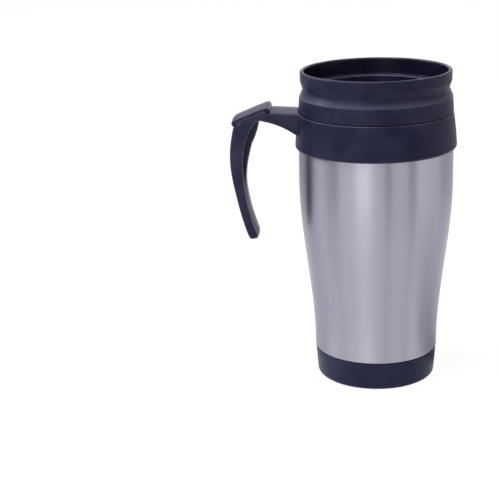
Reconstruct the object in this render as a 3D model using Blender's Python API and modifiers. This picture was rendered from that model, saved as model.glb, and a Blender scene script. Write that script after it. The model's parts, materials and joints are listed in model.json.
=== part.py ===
"""An insulated travel mug: steel shell, threaded plastic liner, open grip handle, and a screw lid
with a sliding drink closure. Units are metres, +Z is up, the mug stands on z = 0, and the handle
points along -X."""

import math

import bmesh
import bpy
from mathutils import Matrix, Vector

MM = 0.001
GAP = 0.3 * MM               # air left between two pieces that touch on the real mug
TURN_STEPS = 48              # sides of a turned piece that shows
HIDDEN_STEPS = 36            # sides of a turned piece that is covered
FILLET_STEPS = 2             # faces across a rounded corner
BODY_STEP = 14.0 * MM        # height of one course of the tapered walls

# Base
BASE_TOP_Z = 16.5 * MM
BASE_STEP = 0.2 * MM         # the base stands in from the steel by this much
BASE_DRAFT = 0.85 * MM
BASE_SIDE_Z = 5.0 * MM
BASE_TUCK = 0.4 * MM
BASE_CORNER = 1.7 * MM
BASE_RING = 5.0 * MM         # flat ring around the pad
BASE_WALL = 2.1 * MM
BASE_FLOOR_THICK = 2.0 * MM
SPIGOT_HEIGHT = 7.5 * MM
BASE_SEAL_DEPTH = 1.15 * MM
BASE_SEAL_THICK = 1.2 * MM
BASE_SEAL_RISE = 3.6 * MM
PAD_THICK = 1.6 * MM
PAD_PROUD = 0.4 * MM         # the pad stands this far below the base

# Steel shell
SHELL_R = 43.35 * MM
SHELL_FOOT_R = 35.15 * MM
SHELL_LENGTH = 123.7 * MM
SHELL_STRAIGHT_TOP = 25.1 * MM
SHELL_STRAIGHT_FOOT = 2.1 * MM
SHELL_WALL = 0.5 * MM
SEAM_GAP = 0.4 * MM          # the lines that show between base, steel, collar and lid

# Liner and insulation
LINER_NECK_INSET = 2.05 * MM     # from the steel's inside to the liner's neck
LINER_WALL = 1.8 * MM
LINER_LIP = 1.2 * MM
LINER_FLANGE_THICK = 1.8 * MM
LINER_SHOULDER = 5.0 * MM
LINER_CORNER = 5.0 * MM
FOAM_THICK = 3.4 * MM
FOAM_TOP_DROP = 1.6 * MM
PUCK_THICK = 16.5 * MM
PUCK_SLACK = 3.6 * MM

# Collar
COLLAR_WALL = 1.65 * MM
COLLAR_RIM = 1.05 * MM
COLLAR_HEIGHT = 19.6 * MM
COLLAR_OVERLAP = 5.7 * MM    # steel inside the collar
COLLAR_BULGE_Z = 9.1 * MM
COLLAR_BULGE_FILLET = 12.0 * MM
COLLAR_BULGE_STEP = 0.7 * MM
COLLAR_CORNER = 1.2 * MM
COLLAR_SEAL_THICK = 1.2 * MM
COLLAR_SEAL_WIDTH = 1.2 * MM

# Lid, outside
LID_HEIGHT = 23.1 * MM
LID_STEP = 0.1 * MM          # the lid's edge stands in from the collar's
SHOULDER_STEP = 0.65 * MM
SHOULDER_RISE = 8.7 * MM
WAIST_RISE = 13.1 * MM
WAIST_DEPTH = 1.45 * MM
RIM_STEP = 1.2 * MM
RIM_HEIGHT = 5.6 * MM        # straight band above the waist
RIM_WALL = 1.9 * MM
RIM_DRAFT = 1.25 * MM

# Lid, inside
FLOOR_RISE = 8.1 * MM
FLOOR_THICK = 2.0 * MM
WELL_DEPTH = 5.6 * MM
WELL_DRAFT = 1.2 * MM
LEDGE_WIDTH = 3.7 * MM
PLUG_WALL = 2.4 * MM
PLUG_DEPTH = 12.9 * MM       # the threaded skirt below the seam
SEAL_WIDTH = 2.5 * MM
SEAL_THICK = 2.1 * MM
RELIEF_WIDTH = 1.1 * MM      # coring slot above the seal
RELIEF_DEPTH = 8.4 * MM

# Screw thread, right-handed
THREAD_LEAD = 8.0 * MM
THREAD_STARTS = 2
THREAD_ARC = math.radians(150)
THREAD_HEIGHT = 0.9 * MM
THREAD_ROOT = 1.7 * MM
THREAD_CREST = 0.9 * MM
THREAD_STEPS = 20
THREAD_RISE = 4.0 * MM       # from the skirt's end to the middle of a ridge's start

# Sliding closure
LID_ANGLE = math.radians(303)    # the drink slot's bearing, seen from above
SLOT_WIDTH = 5.9 * MM
SLOT_MARGIN = 2.3 * MM       # floor left outside the slot
SLOT_ARC = math.radians(29)  # between the centres of the slot's round ends
SLIDE_SETBACK = 1.0 * MM     # from the open slide to the slot
SLIDE_LAP = 0.7 * MM         # the closed slide covers the slot by this much
SLIDE_BACK_GAP = 5.3 * MM    # from the open slide's round end to the floor's edge
SLIDE_WIDTH = 24.2 * MM
SLIDE_THICK = 2.2 * MM
SLIDE_FRONT_ARC = 40.0 * MM
SLIDE_EDGE = 0.4 * MM
RIDGE_SETBACK = 17.2 * MM
RIDGE_LENGTH = 16.6 * MM
RIDGE_THICK = 3.0 * MM
RIDGE_HEIGHT = 1.7 * MM
ARROW_SETBACK = 7.6 * MM
ARROW_SIZE = 3.0 * MM
ARROW_HEIGHT = 0.35 * MM
VENT_SETBACK = 9.3 * MM      # from the slide's back end
VENT_R = 0.9 * MM
STEM_LENGTH = 12.0 * MM
STEM_WIDTH = 4.4 * MM
BARB = 0.8 * MM
BARB_THICK = 1.0 * MM
RETAINER_LENGTH = 22.0 * MM
RETAINER_WIDTH = 14.0 * MM
RETAINER_THICK = 1.2 * MM
RETAINER_CORNER = 2.0 * MM

# Handle: stations from the collar out along the arm and down the grip, in millimetres from
# the collar's top edge (out, up): outer edge, inner edge, crest of the inner face, half width
HANDLE_STATIONS = (
    ((-1.8, 0.6), (-1.8, -13.1), (-1.8, -13.2), 11.0),
    ((3.1, 0.9), (3.1, -9.7), (3.1, -9.8), 11.0),
    ((8.1, 1.2), (8.1, -6.9), (8.1, -7.1), 11.0),
    ((13.6, 1.5), (13.6, -4.7), (14.0, -5.4), 10.9),
    ((18.2, 1.4), (18.2, -3.6), (18.4, -5.2), 10.8),
    ((23.5, -0.8), (21.4, -3.2), (22.2, -7.0), 10.7),
    ((29.3, -3.2), (23.6, -4.7), (23.7, -10.8), 10.5),
    ((35.1, -5.8), (26.4, -8.5), (24.6, -14.1), 10.3),
    ((37.1, -12.6), (28.9, -14.1), (26.1, -17.3), 10.2),
    ((38.2, -20.3), (30.4, -20.3), (27.4, -21.9), 10.0),
    ((38.3, -28.5), (31.2, -27.5), (28.9, -28.5), 9.8),
    ((37.4, -36.6), (31.2, -34.9), (29.8, -35.3), 9.5),
    ((35.9, -44.7), (30.5, -42.5), (29.8, -42.7), 9.3),
    ((34.0, -53.6), (29.2, -51.0), (28.7, -51.2), 9.1),
    ((32.0, -61.6), (27.3, -59.3), (26.8, -59.4), 8.9),
    ((30.1, -67.8), (25.2, -66.0), (24.7, -66.0), 8.7),
    ((28.8, -71.3), (23.8, -69.9), (23.4, -69.9), 8.3),
    ((27.8, -72.9), (24.1, -72.1), (23.9, -72.1), 7.3),
)
HANDLE_CROWN = 0.5 * MM
HANDLE_EDGE = 0.9 * MM
HANDLE_STEPS = 2             # sections between two stations

# Thumb rest, a cap on the bend of the handle; its top's ends are (out, up) as above
CAP_INNER = (16.3 * MM, 5.05 * MM)
CAP_OUTER = (37.5 * MM, -3.5 * MM)
CAP_INNER_HALF_WIDTH = 11.2 * MM
CAP_OUTER_HALF_WIDTH = 10.4 * MM
CAP_THICK = 2.7 * MM
CAP_CROWN = 0.6 * MM
CAP_EDGE = 0.7 * MM
CAP_NOSE = 1.2 * MM          # the bevel on the end that faces the lid
CLEAR_REACH = 10.0 * MM      # how far a cutter runs past what it clears
PEG_R = 1.5 * MM
PEG_DEPTH = 2.6 * MM
PEG_PLACES = (7.2 * MM, 15.0 * MM)     # along the cap from its inner end

# Handle screws
SCREW_SPREAD = 11.0 * MM
SCREW_DROP = 5.1 * MM        # below the collar's top
SCREW_HEAD_R = 2.3 * MM
SCREW_HEAD_THICK = 1.3 * MM
SCREW_R = 1.3 * MM
SCREW_LENGTH = 7.4 * MM
SCREW_INSET = 0.2 * MM       # the heads lie this far under the collar's bore
SCREW_STEPS = 16

# Heights that follow from the sizes above
SHELL_BOTTOM_Z = BASE_TOP_Z + SEAM_GAP
SHELL_TOP_Z = SHELL_BOTTOM_Z + SHELL_LENGTH
COLLAR_BOTTOM_Z = SHELL_TOP_Z - COLLAR_OVERLAP
COLLAR_STEP_Z = SHELL_TOP_Z + COLLAR_SEAL_THICK + 2 * GAP
COLLAR_TOP_Z = COLLAR_BOTTOM_Z + COLLAR_HEIGHT
FLANGE_TOP_Z = COLLAR_TOP_Z - GAP
FLANGE_BOTTOM_Z = FLANGE_TOP_Z - LINER_FLANGE_THICK
SCREW_Z = COLLAR_TOP_Z - SCREW_DROP
LID_SEAM_Z = COLLAR_TOP_Z + SEAM_GAP
SHOULDER_Z = LID_SEAM_Z + SHOULDER_RISE
WAIST_Z = LID_SEAM_Z + WAIST_RISE
LID_TOP_Z = LID_SEAM_Z + LID_HEIGHT
SEAL_ROOF_Z = FLANGE_TOP_Z + SEAL_THICK + 2 * GAP
PLUG_BOTTOM_Z = LID_SEAM_Z - PLUG_DEPTH
THREAD_Z = PLUG_BOTTOM_Z + THREAD_RISE
FLOOR_Z = LID_SEAM_Z + FLOOR_RISE
FLOOR_UNDER_Z = FLOOR_Z - FLOOR_THICK
LEDGE_Z = FLOOR_Z + WELL_DEPTH
SLIDE_Z = FLOOR_Z + GAP
LINER_NECK_Z = PLUG_BOTTOM_Z - 1.0 * MM
LINER_BODY_TOP_Z = LINER_NECK_Z - LINER_SHOULDER
PAD_TOP_Z = PAD_THICK + GAP
BASE_FLOOR_Z = PAD_TOP_Z + BASE_FLOOR_THICK
LINER_BOTTOM_Z = BASE_FLOOR_Z + PUCK_THICK + 2 * GAP

# Radii that follow from the sizes above
LINER_NECK_R = SHELL_R - SHELL_WALL - LINER_NECK_INSET
LINER_BORE_R = LINER_NECK_R - LINER_WALL
LINER_FLANGE_R = LINER_NECK_R + LINER_LIP
COLLAR_R = SHELL_R + GAP + COLLAR_WALL
COLLAR_BORE_R = LINER_NECK_R + GAP
COLLAR_TOP_R = LINER_FLANGE_R + GAP + COLLAR_RIM
LID_SEAM_R = COLLAR_TOP_R - LID_STEP
SHOULDER_R = LID_SEAM_R - SHOULDER_STEP
RIM_R = LID_SEAM_R - RIM_STEP
WAIST_R = RIM_R - WAIST_DEPTH
LEDGE_OUTER_R = RIM_R - RIM_WALL - RIM_DRAFT
LEDGE_INNER_R = LEDGE_OUTER_R - LEDGE_WIDTH
FLOOR_R = LEDGE_INNER_R - WELL_DRAFT
PLUG_R = LINER_BORE_R - THREAD_HEIGHT - GAP
SCREW_SEAT_R = COLLAR_BORE_R + SCREW_INSET
BASE_TOP_R = SHELL_FOOT_R - BASE_STEP
BASE_SIDE_R = BASE_TOP_R - BASE_DRAFT
BASE_R = BASE_SIDE_R - BASE_TUCK
PAD_R = BASE_R - BASE_CORNER - BASE_RING

# Places along the slide, from the lid's centre towards the drink slot, with the slide open
SLOT_OUTER_R = FLOOR_R - SLOT_MARGIN
SLOT_INNER_R = SLOT_OUTER_R - SLOT_WIDTH
SLIDE_FRONT = SLOT_INNER_R - SLIDE_SETBACK
SLIDE_BACK = SLIDE_BACK_GAP - FLOOR_R
SLIDE_TRAVEL = SLIDE_SETBACK + SLOT_WIDTH + SLIDE_LAP
RIDGE_X = SLIDE_FRONT - RIDGE_SETBACK
ARROW_X = SLIDE_FRONT - ARROW_SETBACK
VENT_X = SLIDE_BACK + VENT_SETBACK


def clear_scene():
    for thing in list(bpy.data.objects):
        bpy.data.objects.remove(thing, do_unlink=True)


def new_collection(name):
    made = bpy.data.collections.new(name)
    bpy.context.scene.collection.children.link(made)
    return made


clear_scene()
PARTS = new_collection("travel_mug")
CUTTERS = new_collection("cutters")


def finish(name, colour, roughness, metallic=0.0):
    """A plain surface of one colour (linear RGB)."""
    made = bpy.data.materials.new(name)
    made.use_nodes = True
    shader = made.node_tree.nodes["Principled BSDF"]
    shader.inputs["Base Color"].default_value = (*colour, 1.0)
    shader.inputs["Roughness"].default_value = roughness
    shader.inputs["Metallic"].default_value = metallic
    return made


def place(mesh, name, material, collection=None):
    """An object for a mesh, shaded smooth where it is round."""
    mesh.name = name
    made = bpy.data.objects.new(name, mesh)
    (collection or PARTS).objects.link(made)
    mesh.shade_smooth()
    mesh.set_sharp_from_angle(angle=math.radians(35))
    if material:
        mesh.materials.append(material)
    if collection == CUTTERS:
        made.hide_render = True
        made.display_type = "WIRE"
    return made


def rounded(corners):
    """The points of an outline whose corners (x, y, fillet) are rounded to their fillets."""
    points = []
    count = len(corners)
    for i, (x, y, fillet) in enumerate(corners):
        here = Vector((x, y))
        if fillet <= 0:
            points.append(here)
            continue
        before = (Vector(corners[i - 1][:2]) - here).normalized()
        after = (Vector(corners[(i + 1) % count][:2]) - here).normalized()
        half = before.angle(after) / 2
        reach = fillet / math.tan(half)
        centre = here + (before + after).normalized() * (fillet / math.sin(half))
        start = here + before * reach - centre
        turn = start.angle_signed(here + after * reach - centre)
        for k in range(FILLET_STEPS + 1):
            points.append(centre + start @ Matrix.Rotation(turn * k / FILLET_STEPS, 2))
    return points


def turned(name, corners, material, collection=None, steps=TURN_STEPS):
    """A solid of revolution about Z. The corners run down its outer side and back up inside,
    and one that reaches the axis at both ends is solid through the middle."""
    points = rounded(corners)
    mesh = bpy.data.meshes.new(name)
    closed = corners[0][0] > 0 or corners[-1][0] > 0
    edges = [(i, i + 1) for i in range(len(points) - 1)]
    if closed:
        edges.append((len(points) - 1, 0))
    mesh.from_pydata([(p.x, 0, p.y) for p in points], edges, [])
    made = place(mesh, name, material, collection)
    screw = made.modifiers.new("Turn", "SCREW")
    screw.axis = "Z"
    screw.steps = steps
    screw.render_steps = steps
    screw.use_merge_vertices = True
    screw.merge_threshold = 0.00001
    screw.use_smooth_shade = True
    return made


def lofted(name, rings, material, collection=None):
    """A closed skin over rings of points that all have the same count."""
    mesh = bpy.data.meshes.new(name)
    bm = bmesh.new()
    rows = [[bm.verts.new(point) for point in ring] for ring in rings]
    for row, following in zip(rows, rows[1:]):
        for i in range(len(row)):
            j = (i + 1) % len(row)
            bm.faces.new((row[i], row[j], following[j], following[i]))
    bm.faces.new(rows[0][::-1])
    bm.faces.new(rows[-1])
    bmesh.ops.recalc_face_normals(bm, faces=bm.faces)
    bm.to_mesh(mesh)
    bm.free()
    return place(mesh, name, material, collection)


def plate(name, outline, bottom, thick, material, collection=None):
    """A flat piece: a filled outline given a thickness upwards from its bottom."""
    curve = bpy.data.curves.new(name, "CURVE")
    curve.dimensions = "2D"
    curve.fill_mode = "BOTH"
    curve.extrude = thick / 2
    spline = curve.splines.new("POLY")
    spline.points.add(len(outline) - 1)
    for point, (x, y) in zip(spline.points, outline):
        point.co = (x, y, 0, 1)
    spline.use_cyclic_u = True
    drawn = bpy.data.objects.new(name, curve)
    CUTTERS.objects.link(drawn)
    evaluated = drawn.evaluated_get(bpy.context.evaluated_depsgraph_get())
    mesh = bpy.data.meshes.new_from_object(evaluated)
    bpy.data.objects.remove(drawn)
    bpy.data.curves.remove(curve)
    bm = bmesh.new()
    bm.from_mesh(mesh)
    bmesh.ops.remove_doubles(bm, verts=bm.verts, dist=0.00001)
    bmesh.ops.recalc_face_normals(bm, faces=bm.faces)
    bmesh.ops.translate(bm, verts=bm.verts, vec=(0, 0, bottom + thick / 2))
    bm.to_mesh(mesh)
    bm.free()
    return place(mesh, name, material, collection)


def block(name, low, high, collection=None):
    """A box between two corners."""
    mesh = bpy.data.meshes.new(name)
    bm = bmesh.new()
    bmesh.ops.create_cube(bm, size=1)
    low, high = Vector(low), Vector(high)
    bmesh.ops.scale(bm, verts=bm.verts, vec=high - low)
    bmesh.ops.translate(bm, verts=bm.verts, vec=(low + high) / 2)
    bm.to_mesh(mesh)
    bm.free()
    return place(mesh, name, None, collection or CUTTERS)


def rod(name, start, end, radius, collection=None, steps=SCREW_STEPS):
    """A round bar between two points."""
    mesh = bpy.data.meshes.new(name)
    bm = bmesh.new()
    run = Vector(end) - Vector(start)
    bmesh.ops.create_cone(
        bm, cap_ends=True, segments=steps, radius1=radius, radius2=radius, depth=run.length
    )
    aim = run.to_track_quat("Z", "Y").to_matrix().to_4x4()
    middle = Matrix.Translation((Vector(start) + Vector(end)) / 2)
    bmesh.ops.transform(bm, verts=bm.verts, matrix=middle @ aim)
    bm.to_mesh(mesh)
    bm.free()
    return place(mesh, name, None, collection or CUTTERS)


def combine(piece, other, operation):
    """A Boolean that cuts the other shape away or joins it on."""
    step = piece.modifiers.new(other.name, "BOOLEAN")
    step.object = other
    step.operation = operation
    step.solver = "EXACT"


def soften(piece, width):
    bevel = piece.modifiers.new("Edges", "BEVEL")
    bevel.width = width
    bevel.segments = 1
    bevel.limit_method = "ANGLE"
    bevel.angle_limit = math.radians(40)


def arc(centre, radius, start, end, steps):
    """Points along an arc from one angle to another."""
    for k in range(steps + 1):
        angle = start + (end - start) * k / steps
        yield centre[0] + radius * math.cos(angle), centre[1] + radius * math.sin(angle)


def thread_ridge(name, radius, start_z, start_angle, outward, collection):
    """One start of a thread: a helical ridge that rises out of a wall and fades at both ends."""
    rings = []
    sink = 0.4 * MM
    for k in range(THREAD_STEPS + 1):
        share = k / THREAD_STEPS
        turn = THREAD_ARC * share
        fade = min(1.0, 6 * share + 0.15, 6 * (1 - share) + 0.15)
        z = start_z + THREAD_LEAD * turn / (2 * math.pi)
        crest = radius + outward * THREAD_HEIGHT * fade
        root = radius - outward * sink
        angle = start_angle + turn
        section = (
            (root, z - THREAD_ROOT / 2),
            (crest, z - THREAD_CREST / 2),
            (crest, z + THREAD_CREST / 2),
            (root, z + THREAD_ROOT / 2),
        )
        rings.append([(r * math.cos(angle), r * math.sin(angle), h) for r, h in section])
    return lofted(name, rings, None, collection)


def add_thread(piece, name, radius, start_z, outward):
    for start in range(THREAD_STARTS):
        angle = 2 * math.pi * start / THREAD_STARTS
        ridge = thread_ridge(f"{name}_{start + 1}", radius, start_z, angle, outward, CUTTERS)
        combine(piece, ridge, "UNION")


def shell_radius(z):
    """The steel shell's outer radius: an S-curve from the foot to the full width."""
    foot_z = SHELL_BOTTOM_Z + SHELL_STRAIGHT_FOOT
    share = (z - foot_z) / (SHELL_TOP_Z - SHELL_STRAIGHT_TOP - foot_z)
    share = min(1.0, max(0.0, share))
    return SHELL_FOOT_R + (SHELL_R - SHELL_FOOT_R) * share * share * (3 - 2 * share)


def wall_line(inset, low, high):
    """Corners along the tapered wall from high to low, set in from the steel's outside."""
    first = math.floor(low / BODY_STEP) + 1
    last = math.ceil(high / BODY_STEP) - 1
    courses = [k * BODY_STEP for k in range(first, last + 1)]
    kept = [z for z in courses if z - low > BODY_STEP / 4 and high - z > BODY_STEP / 4]
    return [(shell_radius(z) - inset, z, 0) for z in [high, *reversed(kept), low]]


def flipped(corners):
    return list(reversed(corners))


PLASTIC = finish("black_plastic", (0.022, 0.023, 0.044), 0.45)
HANDLE_PLASTIC = finish("handle_plastic", (0.024, 0.027, 0.050), 0.42)
SLIDE_PLASTIC = finish("slide_plastic", (0.026, 0.024, 0.036), 0.40)
BASE_PLASTIC = finish("base_plastic", (0.024, 0.028, 0.056), 0.45)
STEEL = finish("brushed_steel", (0.42, 0.41, 0.46), 0.30, 1.0)
SCREW_STEEL = finish("zinc_steel", (0.55, 0.55, 0.56), 0.35, 1.0)
LINER_PLASTIC = finish("liner_plastic", (0.020, 0.020, 0.024), 0.50)
SILICONE = finish("silicone", (0.30, 0.30, 0.32), 0.60)
FOAM = finish("foam", (0.75, 0.72, 0.62), 0.95)
PAD_RUBBER = finish("pad_rubber", (0.020, 0.020, 0.022), 0.85)


# Lid

def on_lid(piece):
    """Turns a piece made with the drink slot along +X to the slot's bearing."""
    piece.rotation_euler.z = LID_ANGLE
    return piece


def drink_slot():
    middle = (SLOT_INNER_R + SLOT_OUTER_R) / 2
    end = (SLOT_OUTER_R - SLOT_INNER_R) / 2
    half = SLOT_ARC / 2
    low_end = (middle * math.cos(-half), middle * math.sin(-half))
    high_end = (middle * math.cos(half), middle * math.sin(half))
    outline = list(arc((0, 0), SLOT_OUTER_R, -half, half, 8))
    outline += list(arc(high_end, end, half, half + math.pi, 6))[1:]
    outline += list(arc((0, 0), SLOT_INNER_R, half, -half, 8))[1:]
    outline += list(arc(low_end, end, math.pi - half, 2 * math.pi - half, 6))[1:-1]
    return on_lid(
        plate("cut_drink_slot", outline, FLOOR_UNDER_Z - MM, FLOOR_THICK + 2 * MM, None, CUTTERS)
    )


def make_lid_body():
    waist_fillet = 2.6 * MM
    edge = 0.5 * MM
    groove_out = PLUG_R + GAP + SEAL_WIDTH + GAP
    relief_in = PLUG_R + GAP + (SEAL_WIDTH - RELIEF_WIDTH) / 2
    relief_out = relief_in + RELIEF_WIDTH
    relief_top = SEAL_ROOF_Z + RELIEF_DEPTH
    corners = [
        (0, FLOOR_Z, 0),
        (FLOOR_R, FLOOR_Z, 0.9 * MM),
        (LEDGE_INNER_R, LEDGE_Z, edge),
        (LEDGE_OUTER_R, LEDGE_Z, edge),
        (RIM_R - RIM_WALL, LID_TOP_Z, 0.8 * MM),
        (RIM_R, LID_TOP_Z, 0.8 * MM),
        (RIM_R, LID_TOP_Z - RIM_HEIGHT, waist_fillet),
        (WAIST_R, WAIST_Z, waist_fillet),
        (SHOULDER_R, SHOULDER_Z, 1.6 * MM),
        (LID_SEAM_R, LID_SEAM_Z, 0.4 * MM),
        (groove_out, LID_SEAM_Z, 0),
        (groove_out, SEAL_ROOF_Z, 0),
        (relief_out, SEAL_ROOF_Z, 0),
        (relief_out, relief_top, 0),
        (relief_in, relief_top, 0),
        (relief_in, SEAL_ROOF_Z, 0),
        (PLUG_R, SEAL_ROOF_Z, 0),
        (PLUG_R, PLUG_BOTTOM_Z, edge),
        (PLUG_R - PLUG_WALL, PLUG_BOTTOM_Z, 0),
        (PLUG_R - PLUG_WALL, FLOOR_UNDER_Z, 0),
        (0, FLOOR_UNDER_Z, 0),
    ]
    body = turned("lid_body", corners, PLASTIC)
    add_thread(body, "lid_thread", PLUG_R, THREAD_Z, 1)
    combine(body, drink_slot(), "DIFFERENCE")
    slack = 2 * GAP
    guide = on_lid(block(
        "cut_guide_slot",
        (-STEM_LENGTH / 2 - slack, -STEM_WIDTH / 2 - GAP, FLOOR_UNDER_Z - MM),
        (STEM_LENGTH / 2 + SLIDE_TRAVEL + slack, STEM_WIDTH / 2 + GAP, FLOOR_Z + MM),
    ))
    combine(body, guide, "DIFFERENCE")
    vent = on_lid(rod(
        "cut_lid_vent", (VENT_X, 0, FLOOR_UNDER_Z - MM), (VENT_X, 0, FLOOR_Z + MM), VENT_R
    ))
    combine(body, vent, "DIFFERENCE")


def make_lid_seal():
    inner = PLUG_R + GAP
    outer = inner + SEAL_WIDTH
    low = FLANGE_TOP_Z + GAP
    high = low + SEAL_THICK
    edge = 0.4 * MM
    turned("lid_seal", [
        (outer, high, edge), (outer, low, edge), (inner, low, edge), (inner, high, edge),
    ], SILICONE, steps=HIDDEN_STEPS)


def make_slide():
    half = SLIDE_WIDTH / 2
    sweep = math.asin(half / SLIDE_FRONT_ARC)
    front = (SLIDE_FRONT - SLIDE_FRONT_ARC, 0)
    back = (SLIDE_BACK + half, 0)
    outline = list(arc(front, SLIDE_FRONT_ARC, -sweep, sweep, 6))
    outline += list(arc(back, half, math.pi / 2, 3 * math.pi / 2, 14))
    slide = plate("slide_closure", outline, SLIDE_Z, SLIDE_THICK, SLIDE_PLASTIC)
    on_lid(slide)
    soften(slide, SLIDE_EDGE)
    top = SLIDE_Z + SLIDE_THICK

    radius = (RIDGE_LENGTH**2 / 4 + RIDGE_THICK**2 / 4) / RIDGE_THICK
    bow = math.asin(RIDGE_LENGTH / 2 / radius)
    lens = list(arc((RIDGE_X - radius + RIDGE_THICK / 2, 0), radius, -bow, bow, 6))
    far_side = arc((RIDGE_X + radius - RIDGE_THICK / 2, 0), radius, math.pi - bow, math.pi + bow, 6)
    lens += list(far_side)[1:-1]
    ridge = plate("join_ridge", lens, top - 0.5 * MM, RIDGE_HEIGHT + 0.5 * MM, None, CUTTERS)
    soften(on_lid(ridge), 0.5 * MM)
    combine(slide, ridge, "UNION")

    size = ARROW_SIZE
    arrow = [
        (ARROW_X + size, 0), (ARROW_X - size / 2, size), (ARROW_X - size / 2, size / 2.5),
        (ARROW_X - size, size / 2.5), (ARROW_X - size, -size / 2.5),
        (ARROW_X - size / 2, -size / 2.5), (ARROW_X - size / 2, -size),
    ]
    mark = plate("join_arrow", arrow, top - 0.5 * MM, ARROW_HEIGHT + 0.5 * MM, None, CUTTERS)
    combine(slide, on_lid(mark), "UNION")

    clip_top = FLOOR_UNDER_Z - GAP
    clip_bottom = clip_top - RETAINER_THICK
    foot = clip_bottom - GAP - BARB
    stem = block(
        "join_stem",
        (-STEM_LENGTH / 2, -STEM_WIDTH / 2, foot),
        (STEM_LENGTH / 2, STEM_WIDTH / 2, SLIDE_Z + SLIDE_THICK / 2),
    )
    combine(slide, on_lid(stem), "UNION")
    barbs = block(
        "join_barbs",
        (-STEM_LENGTH / 2 - BARB, -STEM_WIDTH / 2 + 0.4 * MM, foot + BARB - BARB_THICK),
        (STEM_LENGTH / 2 + BARB, STEM_WIDTH / 2 - 0.4 * MM, clip_bottom - GAP),
    )
    combine(slide, on_lid(barbs), "UNION")
    vent = rod(
        "cut_slide_vent", (VENT_X, 0, SLIDE_Z - MM), (VENT_X, 0, top + MM), VENT_R
    )
    combine(slide, on_lid(vent), "DIFFERENCE")

    long_half = RETAINER_LENGTH / 2
    wide_half = RETAINER_WIDTH / 2
    outline = rounded([
        (long_half, -wide_half, RETAINER_CORNER), (long_half, wide_half, RETAINER_CORNER),
        (-long_half, wide_half, RETAINER_CORNER), (-long_half, -wide_half, RETAINER_CORNER),
    ])
    retainer = plate("slide_retainer", outline, clip_bottom, RETAINER_THICK, PLASTIC)
    on_lid(retainer)
    window = block(
        "cut_retainer",
        (-STEM_LENGTH / 2 - GAP, -STEM_WIDTH / 2 - GAP, clip_bottom - MM),
        (STEM_LENGTH / 2 + GAP, STEM_WIDTH / 2 + GAP, clip_top + MM),
    )
    combine(retainer, on_lid(window), "DIFFERENCE")


# Body

def collar_outside(extra=0.0):
    """The collar's outer corners, top to bottom, or the same line set out by a little."""
    return [
        (COLLAR_TOP_R + extra, COLLAR_TOP_Z, 0.4 * MM),
        (COLLAR_R - COLLAR_BULGE_STEP + extra, COLLAR_BOTTOM_Z + COLLAR_BULGE_Z, COLLAR_BULGE_FILLET),
        (COLLAR_R + extra, COLLAR_BOTTOM_Z, COLLAR_CORNER),
    ]


def make_collar():
    skirt_r = SHELL_R + GAP
    flange_r = LINER_FLANGE_R + GAP
    seat_z = FLANGE_BOTTOM_Z - GAP
    collar = turned("collar", [
        *collar_outside(),
        (skirt_r, COLLAR_BOTTOM_Z, 0),
        (skirt_r, COLLAR_STEP_Z, 0),
        (COLLAR_BORE_R, COLLAR_STEP_Z, 0),
        (COLLAR_BORE_R, seat_z, 0),
        (flange_r, seat_z, 0),
        (flange_r, COLLAR_TOP_Z, 0),
    ], PLASTIC)
    for number, y in screw_places():
        head = rod(
            f"cut_head_{number}",
            (-SCREW_SEAT_R + 3 * MM, y, SCREW_Z),
            (-SCREW_SEAT_R - SCREW_HEAD_THICK - GAP, y, SCREW_Z),
            SCREW_HEAD_R + GAP,
        )
        combine(collar, head, "DIFFERENCE")
        shank = rod(
            f"cut_shank_{number}",
            (-SCREW_SEAT_R, y, SCREW_Z),
            (-COLLAR_R - 2 * MM, y, SCREW_Z),
            SCREW_R + GAP,
        )
        combine(collar, shank, "DIFFERENCE")

    inner = SHELL_R - COLLAR_SEAL_WIDTH
    low = SHELL_TOP_Z + GAP
    turned("collar_seal", [
        (SHELL_R, low + COLLAR_SEAL_THICK, 0), (SHELL_R, low, 0),
        (inner, low, 0), (inner, low + COLLAR_SEAL_THICK, 0),
    ], SILICONE, steps=HIDDEN_STEPS)


def make_shell():
    turned("outer_shell", [
        *wall_line(0, SHELL_BOTTOM_Z, SHELL_TOP_Z),
        *flipped(wall_line(SHELL_WALL, SHELL_BOTTOM_Z, SHELL_TOP_Z)),
    ], STEEL)


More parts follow.
